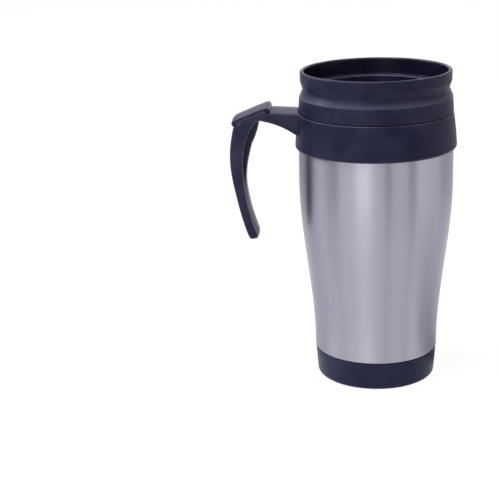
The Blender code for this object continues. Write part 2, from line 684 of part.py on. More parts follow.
def make_liner():
    outer_inset = SHELL_WALL + GAP + FOAM_THICK + GAP
    inner_inset = outer_inset + LINER_WALL
    inner_floor = LINER_BOTTOM_Z + LINER_WALL
    outside = wall_line(outer_inset, LINER_BOTTOM_Z, LINER_BODY_TOP_Z)
    inside = flipped(wall_line(inner_inset, inner_floor, LINER_BODY_TOP_Z))
    outside[-1] = (*outside[-1][:2], LINER_CORNER)
    inside[0] = (*inside[0][:2], LINER_CORNER - LINER_WALL)
    liner = turned("inner_liner", [
        (0, inner_floor, 0),
        *inside,
        (LINER_BORE_R, LINER_NECK_Z - LINER_WALL, 0),
        (LINER_BORE_R, FLANGE_TOP_Z, 0),
        (LINER_FLANGE_R, FLANGE_TOP_Z, 0.4 * MM),
        (LINER_FLANGE_R, FLANGE_BOTTOM_Z, 0),
        (LINER_NECK_R, FLANGE_BOTTOM_Z, 0),
        (LINER_NECK_R, LINER_NECK_Z, 0),
        *outside,
        (0, LINER_BOTTOM_Z, 0),
    ], LINER_PLASTIC)
    start_z = THREAD_Z + THREAD_LEAD / THREAD_STARTS / 2
    add_thread(liner, "liner_thread", LINER_BORE_R, start_z, -1)

    foam_bottom = BASE_TOP_Z + SPIGOT_HEIGHT + 2 * GAP
    foam_top = LINER_BODY_TOP_Z - FOAM_TOP_DROP
    turned("foam_sleeve", [
        *wall_line(SHELL_WALL + GAP, foam_bottom, foam_top),
        *flipped(wall_line(outer_inset - GAP, foam_bottom, foam_top)),
    ], FOAM, steps=HIDDEN_STEPS)
    puck_r = base_bore() - PUCK_SLACK
    turned("foam_puck", [
        (0, LINER_BOTTOM_Z - GAP, 0), (puck_r, LINER_BOTTOM_Z - GAP, 1.5 * MM),
        (puck_r, BASE_FLOOR_Z + GAP, 1.5 * MM), (0, BASE_FLOOR_Z + GAP, 0),
    ], FOAM, steps=HIDDEN_STEPS)


def spigot_radius():
    return SHELL_FOOT_R - SHELL_WALL - GAP


def base_bore():
    return spigot_radius() - BASE_SEAL_DEPTH - BASE_WALL / 2


def make_base():
    spigot_r = spigot_radius()
    spigot_top = BASE_TOP_Z + SPIGOT_HEIGHT
    groove_r = spigot_r - BASE_SEAL_DEPTH
    half_groove = BASE_SEAL_THICK / 2 + GAP
    inner_r = base_bore()
    seal_z = BASE_TOP_Z + BASE_SEAL_RISE
    recess_r = PAD_R + GAP
    turned("base_cup", [
        (0, BASE_FLOOR_Z, 0),
        (inner_r, BASE_FLOOR_Z, 1.5 * MM),
        (inner_r, spigot_top, 0),
        (spigot_r, spigot_top, 0.5 * MM),
        (spigot_r, seal_z + half_groove, 0),
        (groove_r, seal_z + half_groove, 0),
        (groove_r, seal_z - half_groove, 0),
        (spigot_r, seal_z - half_groove, 0),
        (spigot_r, BASE_TOP_Z, 0),
        (BASE_TOP_R, BASE_TOP_Z, 0.25 * MM),
        (BASE_SIDE_R, BASE_SIDE_Z, 0),
        (BASE_R, PAD_PROUD, BASE_CORNER),
        (recess_r, PAD_PROUD, 0),
        (recess_r, PAD_TOP_Z, 0),
        (0, PAD_TOP_Z, 0),
    ], BASE_PLASTIC)

    turned("base_seal", [
        (spigot_r, seal_z + BASE_SEAL_THICK / 2, 0),
        (spigot_r, seal_z - BASE_SEAL_THICK / 2, 0),
        (groove_r + GAP, seal_z - BASE_SEAL_THICK / 2, 0),
        (groove_r + GAP, seal_z + BASE_SEAL_THICK / 2, 0),
    ], SILICONE, steps=HIDDEN_STEPS)
    turned("anti_slip_pad", [
        (0, PAD_THICK, 0), (PAD_R, PAD_THICK, 0), (PAD_R, 0, 0.4 * MM), (0, 0, 0),
    ], PAD_RUBBER)


# Handle

def smooth_between(values, steps):
    """Values read along a smooth curve through the given ones."""
    last = len(values) - 1
    read = []
    for i in range(last):
        a = values[max(i - 1, 0)]
        b = values[i]
        c = values[i + 1]
        d = values[min(i + 2, last)]
        for k in range(steps):
            t = k / steps
            bend = 2 * a - 5 * b + 4 * c - d
            twist = 3 * (b - c) + d - a
            read.append(b + 0.5 * t * ((c - a) + t * (bend + t * twist)))
    read.append(values[last])
    return read


def handle_ring(outer, inner, crest, half):
    """One section of the handle, a bevelled bar with a low ridge outside and a crest inside."""
    across = (outer - inner).normalized()
    edge = min(HANDLE_EDGE, (outer - inner).length / 3)
    shape = [
        (0, outer + across * HANDLE_CROWN), (half - edge, outer), (half, outer - across * edge),
        (half, inner + across * edge), (half - edge, inner), (0, crest),
    ]
    shape += [(-y, p) for y, p in reversed(shape[1:-1])]
    return [(-COLLAR_TOP_R - p.x, y, COLLAR_TOP_Z + p.y) for y, p in shape]


def handle_rings():
    outers = smooth_between([Vector(s[0]) * MM for s in HANDLE_STATIONS], HANDLE_STEPS)
    inners = smooth_between([Vector(s[1]) * MM for s in HANDLE_STATIONS], HANDLE_STEPS)
    crests = smooth_between([Vector(s[2]) * MM for s in HANDLE_STATIONS], HANDLE_STEPS)
    halves = smooth_between([s[3] * MM for s in HANDLE_STATIONS], HANDLE_STEPS)
    return [handle_ring(*parts) for parts in zip(outers, inners, crests, halves)]


def cap_frame():
    """The thumb rest's own axes: origin at the top's inner edge, X out along it, Z off its face."""
    run = Vector((-(CAP_OUTER[0] - CAP_INNER[0]), 0, CAP_OUTER[1] - CAP_INNER[1]))
    x = run.normalized()
    y = Vector((0, 1, 0))
    z = x.cross(y)
    if z.z < 0:
        y = -y
        z = -z
    axes = Matrix((x, y, z)).transposed().to_4x4()
    corner = (-COLLAR_TOP_R - CAP_INNER[0], 0, COLLAR_TOP_Z + CAP_INNER[1])
    return Matrix.Translation(corner) @ axes, run.length


def cap_ring(x, half, lift, low):
    """One section of the thumb rest: a shallow roof with bevelled edges."""
    return [
        (x, 0, CAP_CROWN + lift), (x, half - CAP_EDGE, lift), (x, half, lift - CAP_EDGE),
        (x, half, low), (x, -half, low), (x, -half, lift - CAP_EDGE), (x, CAP_EDGE - half, lift),
    ]


def make_handle():
    handle = lofted("handle", handle_rings(), HANDLE_PLASTIC)
    clearance = turned("cut_collar", [
        (0, COLLAR_TOP_Z + CLEAR_REACH, 0),
        (COLLAR_TOP_R + GAP, COLLAR_TOP_Z + CLEAR_REACH, 0),
        *collar_outside(GAP),
        (0, COLLAR_BOTTOM_Z, 0),
    ], None, CUTTERS)
    combine(handle, clearance, "DIFFERENCE")

    frame, length = cap_frame()
    drop = -CAP_THICK
    rings = [
        cap_ring(0, CAP_INNER_HALF_WIDTH - CAP_EDGE, -CAP_NOSE, drop),
        cap_ring(0.3 * CAP_NOSE, CAP_INNER_HALF_WIDTH - 0.3 * CAP_EDGE, -0.4 * CAP_NOSE, drop),
        cap_ring(CAP_NOSE, CAP_INNER_HALF_WIDTH, 0, drop),
        cap_ring(length - 1.2 * CAP_EDGE, CAP_OUTER_HALF_WIDTH, 0, drop),
        cap_ring(length - 0.3 * CAP_EDGE, CAP_OUTER_HALF_WIDTH - 0.3 * CAP_EDGE, -0.5 * CAP_EDGE, drop),
        cap_ring(length, CAP_OUTER_HALF_WIDTH - CAP_EDGE, -1.4 * CAP_EDGE, drop + 0.4 * MM),
    ]
    cap = lofted("thumb_rest", rings, HANDLE_PLASTIC)
    cap.matrix_world = frame
    seat = block(
        "cut_cap_seat",
        (-GAP, -2 * CAP_INNER_HALF_WIDTH, drop - GAP),
        (length + CLEAR_REACH, 2 * CAP_INNER_HALF_WIDTH, CLEAR_REACH),
    )
    seat.matrix_world = frame
    combine(handle, seat, "DIFFERENCE")
    for number, x in enumerate(PEG_PLACES, 1):
        peg = rod(
            f"join_peg_{number}", (x, 0, drop + MM), (x, 0, drop - PEG_DEPTH), PEG_R
        )
        peg.matrix_world = frame
        combine(cap, peg, "UNION")
        hole = rod(
            f"cut_peg_{number}", (x, 0, drop + MM), (x, 0, drop - PEG_DEPTH - GAP), PEG_R + GAP
        )
        hole.matrix_world = frame
        combine(handle, hole, "DIFFERENCE")

    for number, y in screw_places():
        tip = -SCREW_SEAT_R - SCREW_HEAD_THICK - SCREW_LENGTH
        bore = rod(
            f"cut_bore_{number}", (-SCREW_SEAT_R, y, SCREW_Z), (tip - GAP, y, SCREW_Z), SCREW_R + GAP
        )
        combine(handle, bore, "DIFFERENCE")
        screw = rod(
            f"handle_screw_{number}",
            (-SCREW_SEAT_R, y, SCREW_Z),
            (-SCREW_SEAT_R - SCREW_HEAD_THICK, y, SCREW_Z),
            SCREW_HEAD_R,
            PARTS,
        )
        screw.data.materials.append(SCREW_STEEL)
        shank = rod(
            f"join_shank_{number}", (-SCREW_SEAT_R - MM, y, SCREW_Z), (tip, y, SCREW_Z), SCREW_R
        )
        combine(screw, shank, "UNION")


def screw_places():
    return (1, -SCREW_SPREAD / 2), (2, SCREW_SPREAD / 2)


make_base()
make_shell()
make_liner()
make_collar()
make_handle()
make_lid_body()
make_lid_seal()
make_slide()
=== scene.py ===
# %% [markdown]
# # An insulated travel mug
# The imported model already holds every piece at its real size and in its place. This lesson dresses
# it: a finer skin for each piece that shows, a finish for every surface, a small studio and a
# camera. The first cell loads the model. The dressed mug may not be bigger than that.

import json
import math

import bmesh
import bpy
from mathutils import Matrix, Vector


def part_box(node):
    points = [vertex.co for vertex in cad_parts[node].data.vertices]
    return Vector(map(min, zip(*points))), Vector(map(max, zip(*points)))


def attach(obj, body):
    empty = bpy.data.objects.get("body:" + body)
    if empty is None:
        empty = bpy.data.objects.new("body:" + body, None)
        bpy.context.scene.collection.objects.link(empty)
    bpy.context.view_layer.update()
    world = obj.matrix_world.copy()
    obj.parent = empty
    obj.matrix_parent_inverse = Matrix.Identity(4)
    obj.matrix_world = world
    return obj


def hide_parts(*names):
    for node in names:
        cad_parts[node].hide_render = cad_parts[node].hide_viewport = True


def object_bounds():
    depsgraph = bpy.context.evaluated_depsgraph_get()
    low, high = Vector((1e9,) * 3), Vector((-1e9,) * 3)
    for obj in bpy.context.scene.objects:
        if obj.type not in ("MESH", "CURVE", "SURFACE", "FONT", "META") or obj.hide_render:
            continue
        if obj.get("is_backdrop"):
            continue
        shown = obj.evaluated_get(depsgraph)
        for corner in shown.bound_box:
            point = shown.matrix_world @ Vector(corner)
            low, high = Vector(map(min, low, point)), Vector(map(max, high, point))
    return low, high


MM = 0.001
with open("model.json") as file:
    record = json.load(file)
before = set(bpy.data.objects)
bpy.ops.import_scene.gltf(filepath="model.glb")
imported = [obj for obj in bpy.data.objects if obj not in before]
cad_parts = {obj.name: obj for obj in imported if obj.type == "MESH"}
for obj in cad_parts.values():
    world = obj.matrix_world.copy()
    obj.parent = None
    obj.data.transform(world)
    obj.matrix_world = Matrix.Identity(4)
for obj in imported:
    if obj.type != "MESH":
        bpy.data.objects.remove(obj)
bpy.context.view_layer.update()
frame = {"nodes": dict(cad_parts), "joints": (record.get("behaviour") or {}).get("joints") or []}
nodes = frame["nodes"]

# %% [markdown]
# ## Levels and radii
# A mug is a stack of turned pieces, so a few heights and radii place everything. They are read from
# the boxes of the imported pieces: the collar, the steel, the base and the lid each have one. Radii
# are read on the +Y side, where no handle gets in the way. Pieces that meet keep a little air.

# %% Levels and radii of the stack
GAP = 0.3 * MM
SEAM = 0.4 * MM
BASE_LOW, BASE_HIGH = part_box("base_cup")
STEEL_LOW, STEEL_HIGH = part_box("outer_shell")
COLLAR_LOW, COLLAR_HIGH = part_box("collar")
LID_LOW, LID_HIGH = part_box("lid_body")
PAD_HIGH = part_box("anti_slip_pad")[1]
BASE_TOP_Z = STEEL_LOW.z - SEAM
LID_SEAM_Z = COLLAR_HIGH.z + SEAM
LID_TOP_Z = LID_HIGH.z
STEEL_R = STEEL_HIGH.y
BASE_R = BASE_HIGH.y
STEEL_FOOT_R = BASE_R + 0.2 * MM
COLLAR_R = COLLAR_HIGH.y
LID_SEAM_R = LID_HIGH.y
COLLAR_TOP_R = LID_SEAM_R + 0.1 * MM
print("seams at z in mm:", [round(z / MM, 1) for z in (BASE_TOP_Z, COLLAR_LOW.z, LID_SEAM_Z)])

# %% [markdown]
# ## Helpers for turned pieces
# A lathe turns a profile, and so does a spin about Z. The profile is a list of corners with a
# fillet each, because a moulding has no sharp corners: the fillets are what catch the light.

# %% Round the corners of a profile
FILLET_STEPS = 6


def rounded(corners):
    """The points of an outline whose corners (x, y, fillet) are rounded to their fillets."""
    points = []
    count = len(corners)
    for i, (x, y, fillet) in enumerate(corners):
        here = Vector((x, y))
        if fillet <= 0:
            points.append(here)
            continue
        before = (Vector(corners[i - 1][:2]) - here).normalized()
        after = (Vector(corners[(i + 1) % count][:2]) - here).normalized()
        half = before.angle(after) / 2
        reach = fillet / math.tan(half)
        centre = here + (before + after).normalized() * (fillet / math.sin(half))
        start = here + before * reach - centre
        turn = start.angle_signed(here + after * reach - centre)
        for k in range(FILLET_STEPS + 1):
            points.append(centre + start @ Matrix.Rotation(turn * k / FILLET_STEPS, 2))
    return points


print("points on a fillet:", FILLET_STEPS + 1)

# %% [markdown]
# Every piece moves with one body of the model and has one slot. A second finish goes on faces that
# are picked by where they lie, so none has to be picked by hand.

# %% Make an object
def written(bm, name):
    """The mesh of what has been built up in a bmesh."""
    mesh = bpy.data.meshes.new(name)
    bm.to_mesh(mesh)
    bm.free()
    return mesh


def new_piece(name, mesh, material, body, sharp=40):
    """An object that rides on a body of the model and is shaded smooth where it is round."""
    piece = bpy.data.objects.new(name, mesh)
    bpy.context.scene.collection.objects.link(piece)
    mesh.shade_smooth()
    mesh.set_sharp_from_angle(angle=math.radians(sharp))
    mesh.materials.append(material)
    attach(piece, body)
    print(name, "has", len(mesh.polygons), "faces")
    return piece


def refinish(piece, material, test):
    """Gives another finish to the faces that pass a test of their radius, height and upward turn."""
    piece.data.materials.append(material)
    changed = 0
    for face in piece.data.polygons:
        if test(math.hypot(face.center.x, face.center.y), face.center.z, face.normal.z):
            face.material_index = len(piece.data.materials) - 1
            changed += 1
    print(piece.name, "has", changed, "faces in", material.name)


print("packed pieces:", len(nodes))

# %% [markdown]
# Wear is found later from how sharply the surface bends at a point. On a long face that reading
# would spread from the edge over the whole face, so each long run gets a point close to its ends.

# %% Turn a profile
SUPPORT = 0.7 * MM


def supported(points):
    """A profile with a point close to each end of its long runs, so that wear stays at the edges."""
    kept = []
    for here, following in zip(points, [*points[1:], None]):
        kept.append(here)
        if following is None:
            continue
        start, end = Vector(here[:2]), Vector(following[:2])
        run = end - start
        if run.length > 3 * SUPPORT:
            kept.append(start + run.normalized() * SUPPORT)
            kept.append(end - run.normalized() * SUPPORT)
    return kept


def turned_mesh(name, points, steps=192):
    """The mesh of a profile (radius, height) turned once about Z."""
    points = supported(points)
    bm = bmesh.new()
    line = [bm.verts.new((p[0], 0, p[1])) for p in points]
    edges = [bm.edges.new(pair) for pair in zip(line, line[1:])]
    if points[0][0] > 0 or points[-1][0] > 0:
        edges.append(bm.edges.new((line[-1], line[0])))
    bmesh.ops.spin(
        bm, geom=line + edges, axis=(0, 0, 1), cent=(0, 0, 0), angle=2 * math.pi, steps=steps
    )
    bmesh.ops.remove_doubles(bm, verts=bm.verts, dist=0.000002)
    bmesh.ops.recalc_face_normals(bm, faces=bm.faces)
    return written(bm, name)


print("support points lie", SUPPORT / MM, "mm from an edge")

# %% [markdown]
# ## Finishes
# Nothing on this mug is a flat colour. The plastic is spark-textured in the mould and picks up fine
# scuffs; its edges polish a little lighter in the hand, and on some pieces that paler edge is pushed
# further as a painted highlight. The steel is brushed around the mug, so its lines run level and its
# highlights stretch upwards. Both finishes are noise read in the mug's own space, so they need no
# unwrapping and have no seam.

# %% Fill nodes, and start a finish
def shader_of(material):
    return material.node_tree.nodes["Principled BSDF"]


def fill(material, socket, value):
    """Links a socket to another one, or sets it to a number, a colour or a vector."""
    if isinstance(value, bpy.types.NodeSocket):
        material.node_tree.links.new(value, socket)
    elif socket.type == "RGBA":
        socket.default_value = (*value, 1)
    else:
        socket.default_value = value


def fill_all(material, node, values):
    """Fills a node's inputs by name, with spaces written as underscores."""
    for key, value in values.items():
        fill(material, node.inputs[key.replace("_", " ")], value)


def add(material, kind, **values):
    """A new node with its inputs filled."""
    node = material.node_tree.nodes.new(kind)
    fill_all(material, node, values)
    return node


def shade(material, **values):
    """Fills the inputs of a material's Principled shader."""
    fill_all(material, shader_of(material), values)


def finish(name, colour, rough, metallic=0.0, specular=0.5):
    """A material with a Principled shader."""
    material = bpy.data.materials.new(name)
    material.use_nodes = True
    shade(material, Base_Color=colour, Roughness=rough, Metallic=metallic, Specular_IOR_Level=specular)
    return material


print("materials of the packed model:", len(bpy.data.materials))

# %% [markdown]
# A pattern is a chain of nodes. Each helper adds one link of it and hands on a socket, so a finish
# reads as one sentence, and no node has to be placed or named by hand.

# %% Patterns and colours
def own_space(material):
    """Coordinates in the mug's own space."""
    return add(material, "ShaderNodeTexCoord").outputs["Object"]


def stretched(material, scale):
    """The mug's space scaled on each axis: a small factor draws the pattern out that way."""
    return add(material, "ShaderNodeMapping", Vector=own_space(material), Scale=scale).outputs["Vector"]


def noise(material, waves, detail=3.0):
    """Noise whose pattern has about this many waves a metre on each axis."""
    where = stretched(material, waves)
    return add(material, "ShaderNodeTexNoise", Vector=where, Scale=1.0, Detail=detail).outputs["Fac"]


def ranged(material, value, low, high, new_low, new_high):
    """A value spread from one range onto another, and held inside it."""
    node = add(
        material, "ShaderNodeMapRange",
        Value=value, From_Min=low, From_Max=high, To_Min=new_low, To_Max=new_high,
    )
    return node.outputs["Result"]


def maths(material, operation, first, second):
    node = add(material, "ShaderNodeMath")
    node.operation = operation
    for socket, value in zip(node.inputs, (first, second)):
        fill(material, socket, value)
    return node.outputs["Value"]


def mixed(material, share, first, second):
    """Two colours mixed by a share."""
    node = add(material, "ShaderNodeMix")
    node.data_type = "RGBA"
    for socket, value in zip((node.inputs[0], node.inputs[6], node.inputs[7]), (share, first, second)):
        fill(material, socket, value)
    return node.outputs[2]


def bumped(material, height, strength, distance):
    """The direction of a surface that has a relief too fine to model."""
    bump = add(material, "ShaderNodeBump", Height=height, Strength=strength, Distance=distance)
    return bump.outputs["Normal"]


print("pattern helpers:", [helper.__name__ for helper in (noise, ranged, maths, mixed, bumped)])

# %% [markdown]
# One recipe makes every plastic: a body colour, a paler edge colour, a roughness and a specular
# level. Clouds let a little of the edge colour through all over, and edges show it in full. The edge
# colour is wear, and on the glossier edge plastics and the handle it is pale enough to paint a
# highlight line as well. The well's walls get a darker plastic that paints the shade inside the lid.
# The handle and its cap have a faint bluish sheen, because their moulds were blasted finer.

# %% Moulded plastic
GLOSS_TINT = (0.74, 0.70, 0.97)
CLOUD_WAVES = (70, 70, 70)
SCUFF_WAVES = (900, 900, 90)
GRAIN_WAVES = (5200, 5200, 5200)
EDGE_FROM, EDGE_FULL = 0.515, 0.57


def moulded_plastic(name, colour, edge_wear_and_highlight, roughness, specular):
    """Spark-textured plastic: fine grain, faint clouds, scuffs, and paler edges of wear and painted
    highlight.
    """
    material = finish(name, colour, roughness, specular=specular)
    clouds = noise(material, CLOUD_WAVES)
    scuffs = ranged(material, noise(material, SCUFF_WAVES, 6.0), 0.58, 0.72, 0.0, 1.0)
    edge = add(material, "ShaderNodeNewGeometry").outputs["Pointiness"]
    edge = ranged(material, edge, EDGE_FROM, EDGE_FULL, 0.0, 1.0)
    tone = mixed(material, ranged(material, clouds, 0.3, 0.7, 0.0, 0.25), colour, edge_wear_and_highlight)
    rough = maths(
        material, "ADD",
        ranged(material, clouds, 0.3, 0.7, roughness - 0.04, roughness + 0.04),
        maths(material, "MULTIPLY", scuffs, 0.10),
    )
    grain = noise(material, GRAIN_WAVES, 2.0)
    shade(
        material, Base_Color=mixed(material, edge, tone, edge_wear_and_highlight), Roughness=rough,
        Specular_Tint=GLOSS_TINT, Normal=bumped(material, grain, 0.3, 0.00004),
    )
    return material


# %% The mug's plastics: body colour, edge colour for wear and painted highlight, roughness, specular level
PLASTICS = {
    "black_plastic": ((0.0085, 0.0090, 0.026), (0.045, 0.046, 0.085), 0.38, 0.14),
    # The shoulder's plastic is glossier, and a highlight is painted along its crest below.
    "shoulder_painted_highlight_plastic": ((0.0085, 0.0090, 0.026), (0.045, 0.046, 0.085), 0.35, 0.17),
    # Darker, to paint the shade inside the lid's well, and smoother.
    "well_painted_shade_plastic": ((0.0034, 0.0036, 0.013), (0.011, 0.011, 0.026), 0.24, 0.08),
    # Glossier, with a pale edge colour that paints thin highlight lines on rims and edges.
    "painted_highlight_plastic": ((0.011, 0.011, 0.028), (0.14, 0.14, 0.20), 0.28, 0.32),
    # The handle's edge colour is paler than the body's, so its edges carry a painted highlight as well
    # as wear.
    "handle_plastic": ((0.0093, 0.0107, 0.029), (0.080, 0.078, 0.125), 0.36, 0.15),
    "cap_plastic": ((0.0095, 0.0105, 0.030), (0.020, 0.020, 0.045), 0.36, 0.17),
    "slide_plastic": ((0.0048, 0.0042, 0.0078), (0.018, 0.016, 0.026), 0.32, 0.10),
    # Lighter and glossier, with a pale edge colour: it paints the highlight line on the slide's rolled
    # edge and ridge.
    "slide_painted_highlight_plastic": ((0.016, 0.015, 0.024), (0.075, 0.070, 0.095), 0.28, 0.28),
    "base_plastic": ((0.0095, 0.0120, 0.034), (0.035, 0.042, 0.080), 0.38, 0.14),
    "liner_plastic": ((0.012, 0.012, 0.014), (0.024, 0.024, 0.028), 0.30, 0.30),
    "pad_rubber": ((0.018, 0.018, 0.020), (0.05, 0.05, 0.05), 0.75, 0.25),
    "silicone": ((0.24, 0.24, 0.26), (0.34, 0.34, 0.36), 0.55, 0.35),
}
PLASTIC = {name: moulded_plastic(name, *values) for name, values in PLASTICS.items()}
for name in ("handle_plastic", "cap_plastic"):
    shade(PLASTIC[name], Sheen_Weight=0.12, Sheen_Roughness=0.35, Sheen_Tint=(0.62, 0.52, 1.0))
print("plastics and rubbers:", len(PLASTIC))

# %% [markdown]
# Brushing leaves lines that are very long around the mug and very fine up it, so the noise is
# stretched that way. The brushed lines also stretch every reflection upwards. The shader does that
# with an anisotropic gloss whose tangent runs around Z.

# %% Brushed steel
LINE_WAVES = (9, 9, 5200)
STREAK_WAVES = (16, 16, 700)
MARK_WAVES = (38, 38, 26)


def brushed_steel(name, colour, bright, roughness, streak):
    """Steel brushed around the mug: level lines, and faint handling marks in the gloss."""
    material = finish(name, colour, roughness, metallic=1.0)
    lines = maths(material, "MULTIPLY", noise(material, LINE_WAVES, 2.0), 0.6)
    streaks = maths(material, "MULTIPLY", noise(material, STREAK_WAVES, 4.0), 0.4)
    both = maths(material, "ADD", lines, streaks)
    marks = noise(material, MARK_WAVES, 5.0)
    tone = mixed(material, ranged(material, both, 0.35, 0.65, 0.0, streak), colour, bright)
    rough = maths(
        material, "ADD",
        ranged(material, both, 0.3, 0.7, roughness - 0.02, roughness + 0.02),
        ranged(material, marks, 0.35, 0.7, -0.015, 0.025),
    )
    tangent = add(material, "ShaderNodeTangent")
    tangent.direction_type = "RADIAL"
    tangent.axis = "Z"
    shade(
        material, Base_Color=tone, Roughness=rough, Normal=bumped(material, both, 0.12, 0.00001),
        Anisotropic=0.85, Anisotropic_Rotation=0.25, Tangent=tangent.outputs["Tangent"],
    )
    return material


BRUSHED_STEEL = brushed_steel("brushed_steel", (0.350, 0.340, 0.405), (0.380, 0.370, 0.435), 0.36, 0.7)
SCREW_STEEL = brushed_steel("screw_steel", (0.48, 0.48, 0.50), (0.58, 0.58, 0.60), 0.30, 1.0)
print("nodes in the steel:", len(BRUSHED_STEEL.node_tree.nodes))

# %% [markdown]
# ## The steel shell
# The shell is one tube. It is straight behind the collar and for two centimetres below it, and then
# drawn in to a foot that a car's cup holder takes. A cylinder with a few loop cuts comes close, but
# a highlight would kink at each cut, so the radius follows a smooth S and the profile is turned. The
# bottom edge is rolled inwards, and it shows as a bright line above the base.

# %% Steel shell
TAPER_TOP_Z = STEEL_HIGH.z - 25.1 * MM
TAPER_FOOT_Z = STEEL_LOW.z + 2.1 * MM
ROLL = 0.45 * MM
STEEL_COURSES = 96


def steel_radius(z):
    share = min(1.0, max(0.0, (z - TAPER_FOOT_Z) / (TAPER_TOP_Z - TAPER_FOOT_Z)))
    return STEEL_FOOT_R + (STEEL_R - STEEL_FOOT_R) * share * share * (3 - 2 * share)


low, high = STEEL_LOW.z + ROLL, STEEL_HIGH.z
heights = [high - (high - low) * k / STEEL_COURSES for k in range(STEEL_COURSES + 1)]
outside = [(steel_radius(z), z) for z in heights]
roll = [
    (STEEL_FOOT_R - ROLL + ROLL * math.cos(a), low - ROLL * math.sin(a))
    for a in (math.radians(15 * k) for k in range(1, 13))
]
inside = [(steel_radius(z) - 2 * ROLL, z) for z in reversed(heights[::8])]
mesh = turned_mesh("steel_skin", outside + roll + inside)
skin = new_piece("steel_skin", mesh, BRUSHED_STEEL, "mug_body")
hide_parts("outer_shell")

# %% [markdown]
# ## Base and pad
# The base is a plastic cap with a slight draft, a rounded foot and a rubber pad let into a recess.
# A bevelled cylinder comes close, but a turned profile gives every corner a fillet of its own. The
# pad's rings grip a table. They are turned too, because relief this coarse casts its own shadow.

# %% Base cap
BASE_BEND_Z = 5.0 * MM
BASE_DRAFT = 0.85 * MM
FOOT_DRAFT = 0.4 * MM
FOOT_FILLET = 1.9 * MM
RECESS_R = PAD_HIGH.y + GAP
RECESS_Z = PAD_HIGH.z + GAP
BASE_HOLE_R = RECESS_R - 4 * MM

corners = [
    (BASE_R, BASE_TOP_Z, 0.35 * MM),
    (BASE_R - BASE_DRAFT, BASE_BEND_Z, 8 * MM),
    (BASE_R - BASE_DRAFT - FOOT_DRAFT, BASE_LOW.z, FOOT_FILLET),
    (RECESS_R, BASE_LOW.z, 0.25 * MM),
    (RECESS_R, RECESS_Z, 0),
    (BASE_HOLE_R, RECESS_Z, 0),
    (BASE_HOLE_R, BASE_TOP_Z, 0),
]
mesh = turned_mesh("base_skin", rounded(corners))
skin = new_piece("base_skin", mesh, PLASTIC["base_plastic"], "mug_body")
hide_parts("base_cup")

# %% Rubber pad
PAD_CHAMFER = 0.3 * MM
RING_PITCH = 2.4 * MM
RING_DEEP = 0.35 * MM
RING_MOUTH, RING_FLOOR = 0.5 * MM, 0.3 * MM

edge_r = PAD_HIGH.y
points = [(0, PAD_HIGH.z), (edge_r, PAD_HIGH.z), (edge_r, PAD_CHAMFER), (edge_r - PAD_CHAMFER, 0)]
rings = int(edge_r / RING_PITCH) - 1
for k in range(rings, 0, -1):
    middle = RING_PITCH * k
    points += [(middle + RING_MOUTH, 0), (middle + RING_FLOOR, RING_DEEP)]
    points += [(middle - RING_FLOOR, RING_DEEP), (middle - RING_MOUTH, 0)]
points.append((0, 0))
mesh = turned_mesh("pad_skin", points)
pad = new_piece("pad_skin", mesh, PLASTIC["pad_rubber"], "mug_body")
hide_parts("anti_slip_pad")

# %% [markdown]
# ## Collar
# The collar bells out gently from the lid's seam to its lower edge, where a tight radius turns under
# onto the steel. That edge stands about two millimetres proud, which is the strongest shadow line on
# the mug, so it has to be shape and not shading. The top edge is rolled, and the glossier plastic on
# the roll has a pale colour that paints a thin highlight line there.

# %% Collar
COLLAR_ROLL = 0.5 * MM
COLLAR_WALL = 1.05 * MM
BELL_R = COLLAR_R - 0.65 * MM
BELL_Z = COLLAR_LOW.z + 9.1 * MM


def on_collar_roll(radius, height, _):
    return height > COLLAR_HIGH.z - COLLAR_ROLL and radius > COLLAR_TOP_R - COLLAR_ROLL


bore_r = STEEL_R + GAP
neck_r = COLLAR_TOP_R - COLLAR_WALL
corners = [
    (COLLAR_TOP_R, COLLAR_HIGH.z, COLLAR_ROLL),
    (BELL_R, BELL_Z, 24 * MM),
    (COLLAR_R + 0.06 * MM, COLLAR_LOW.z, 1.3 * MM),
    (bore_r, COLLAR_LOW.z, 0.2 * MM),
    (bore_r, COLLAR_LOW.z + 6 * MM, 0),
    (neck_r, COLLAR_LOW.z + 12 * MM, 0),
    (neck_r, COLLAR_HIGH.z, 0.2 * MM),
]
mesh = turned_mesh("collar_skin", rounded(corners))
skin = new_piece("collar_skin", mesh, PLASTIC["black_plastic"], "mug_body")
# The rolled top edge gets the paler plastic, which paints a highlight line there.
refinish(skin, PLASTIC["painted_highlight_plastic"], on_collar_roll)
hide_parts("collar")

# %% [markdown]
# ## Lid
# The lid is one moulding: a rim for the lips, a waist below it, a shoulder and a straight skirt down
# to the seam. Inside, the rim's wall leans in to a ledge, and a well drops from the ledge to the
# floor with the drink slot. The threaded skirt below the seam shows only while the lid is unscrewed.
# Cylinders could be stacked to make it, but one turned profile keeps the walls even.

# %% Lid profile
RIM_R = LID_SEAM_R - 1.2 * MM
RIM_WALL = 1.9 * MM
RIM_FILLET = 0.85 * MM
WAIST_R = RIM_R - 1.45 * MM
LEDGE_R = RIM_R - 3.15 * MM
WELL_R = LEDGE_R - 3.7 * MM
FLOOR_R = WELL_R - 1.2 * MM
FLOOR_Z = LID_SEAM_Z + 8.1 * MM
LEDGE_Z = FLOOR_Z + 5.6 * MM
UNDER_Z = FLOOR_Z - 2.0 * MM
SHOULDER_Z = LID_SEAM_Z + 8.5 * MM
PLUG_R = LID_SEAM_R - 5.45 * MM
PLUG_BORE_R = PLUG_R - 2.4 * MM
SEAL_ROOM_R = PLUG_R + 3.1 * MM
SEAL_ROOF_Z = COLLAR_HIGH.z + 2.4 * MM


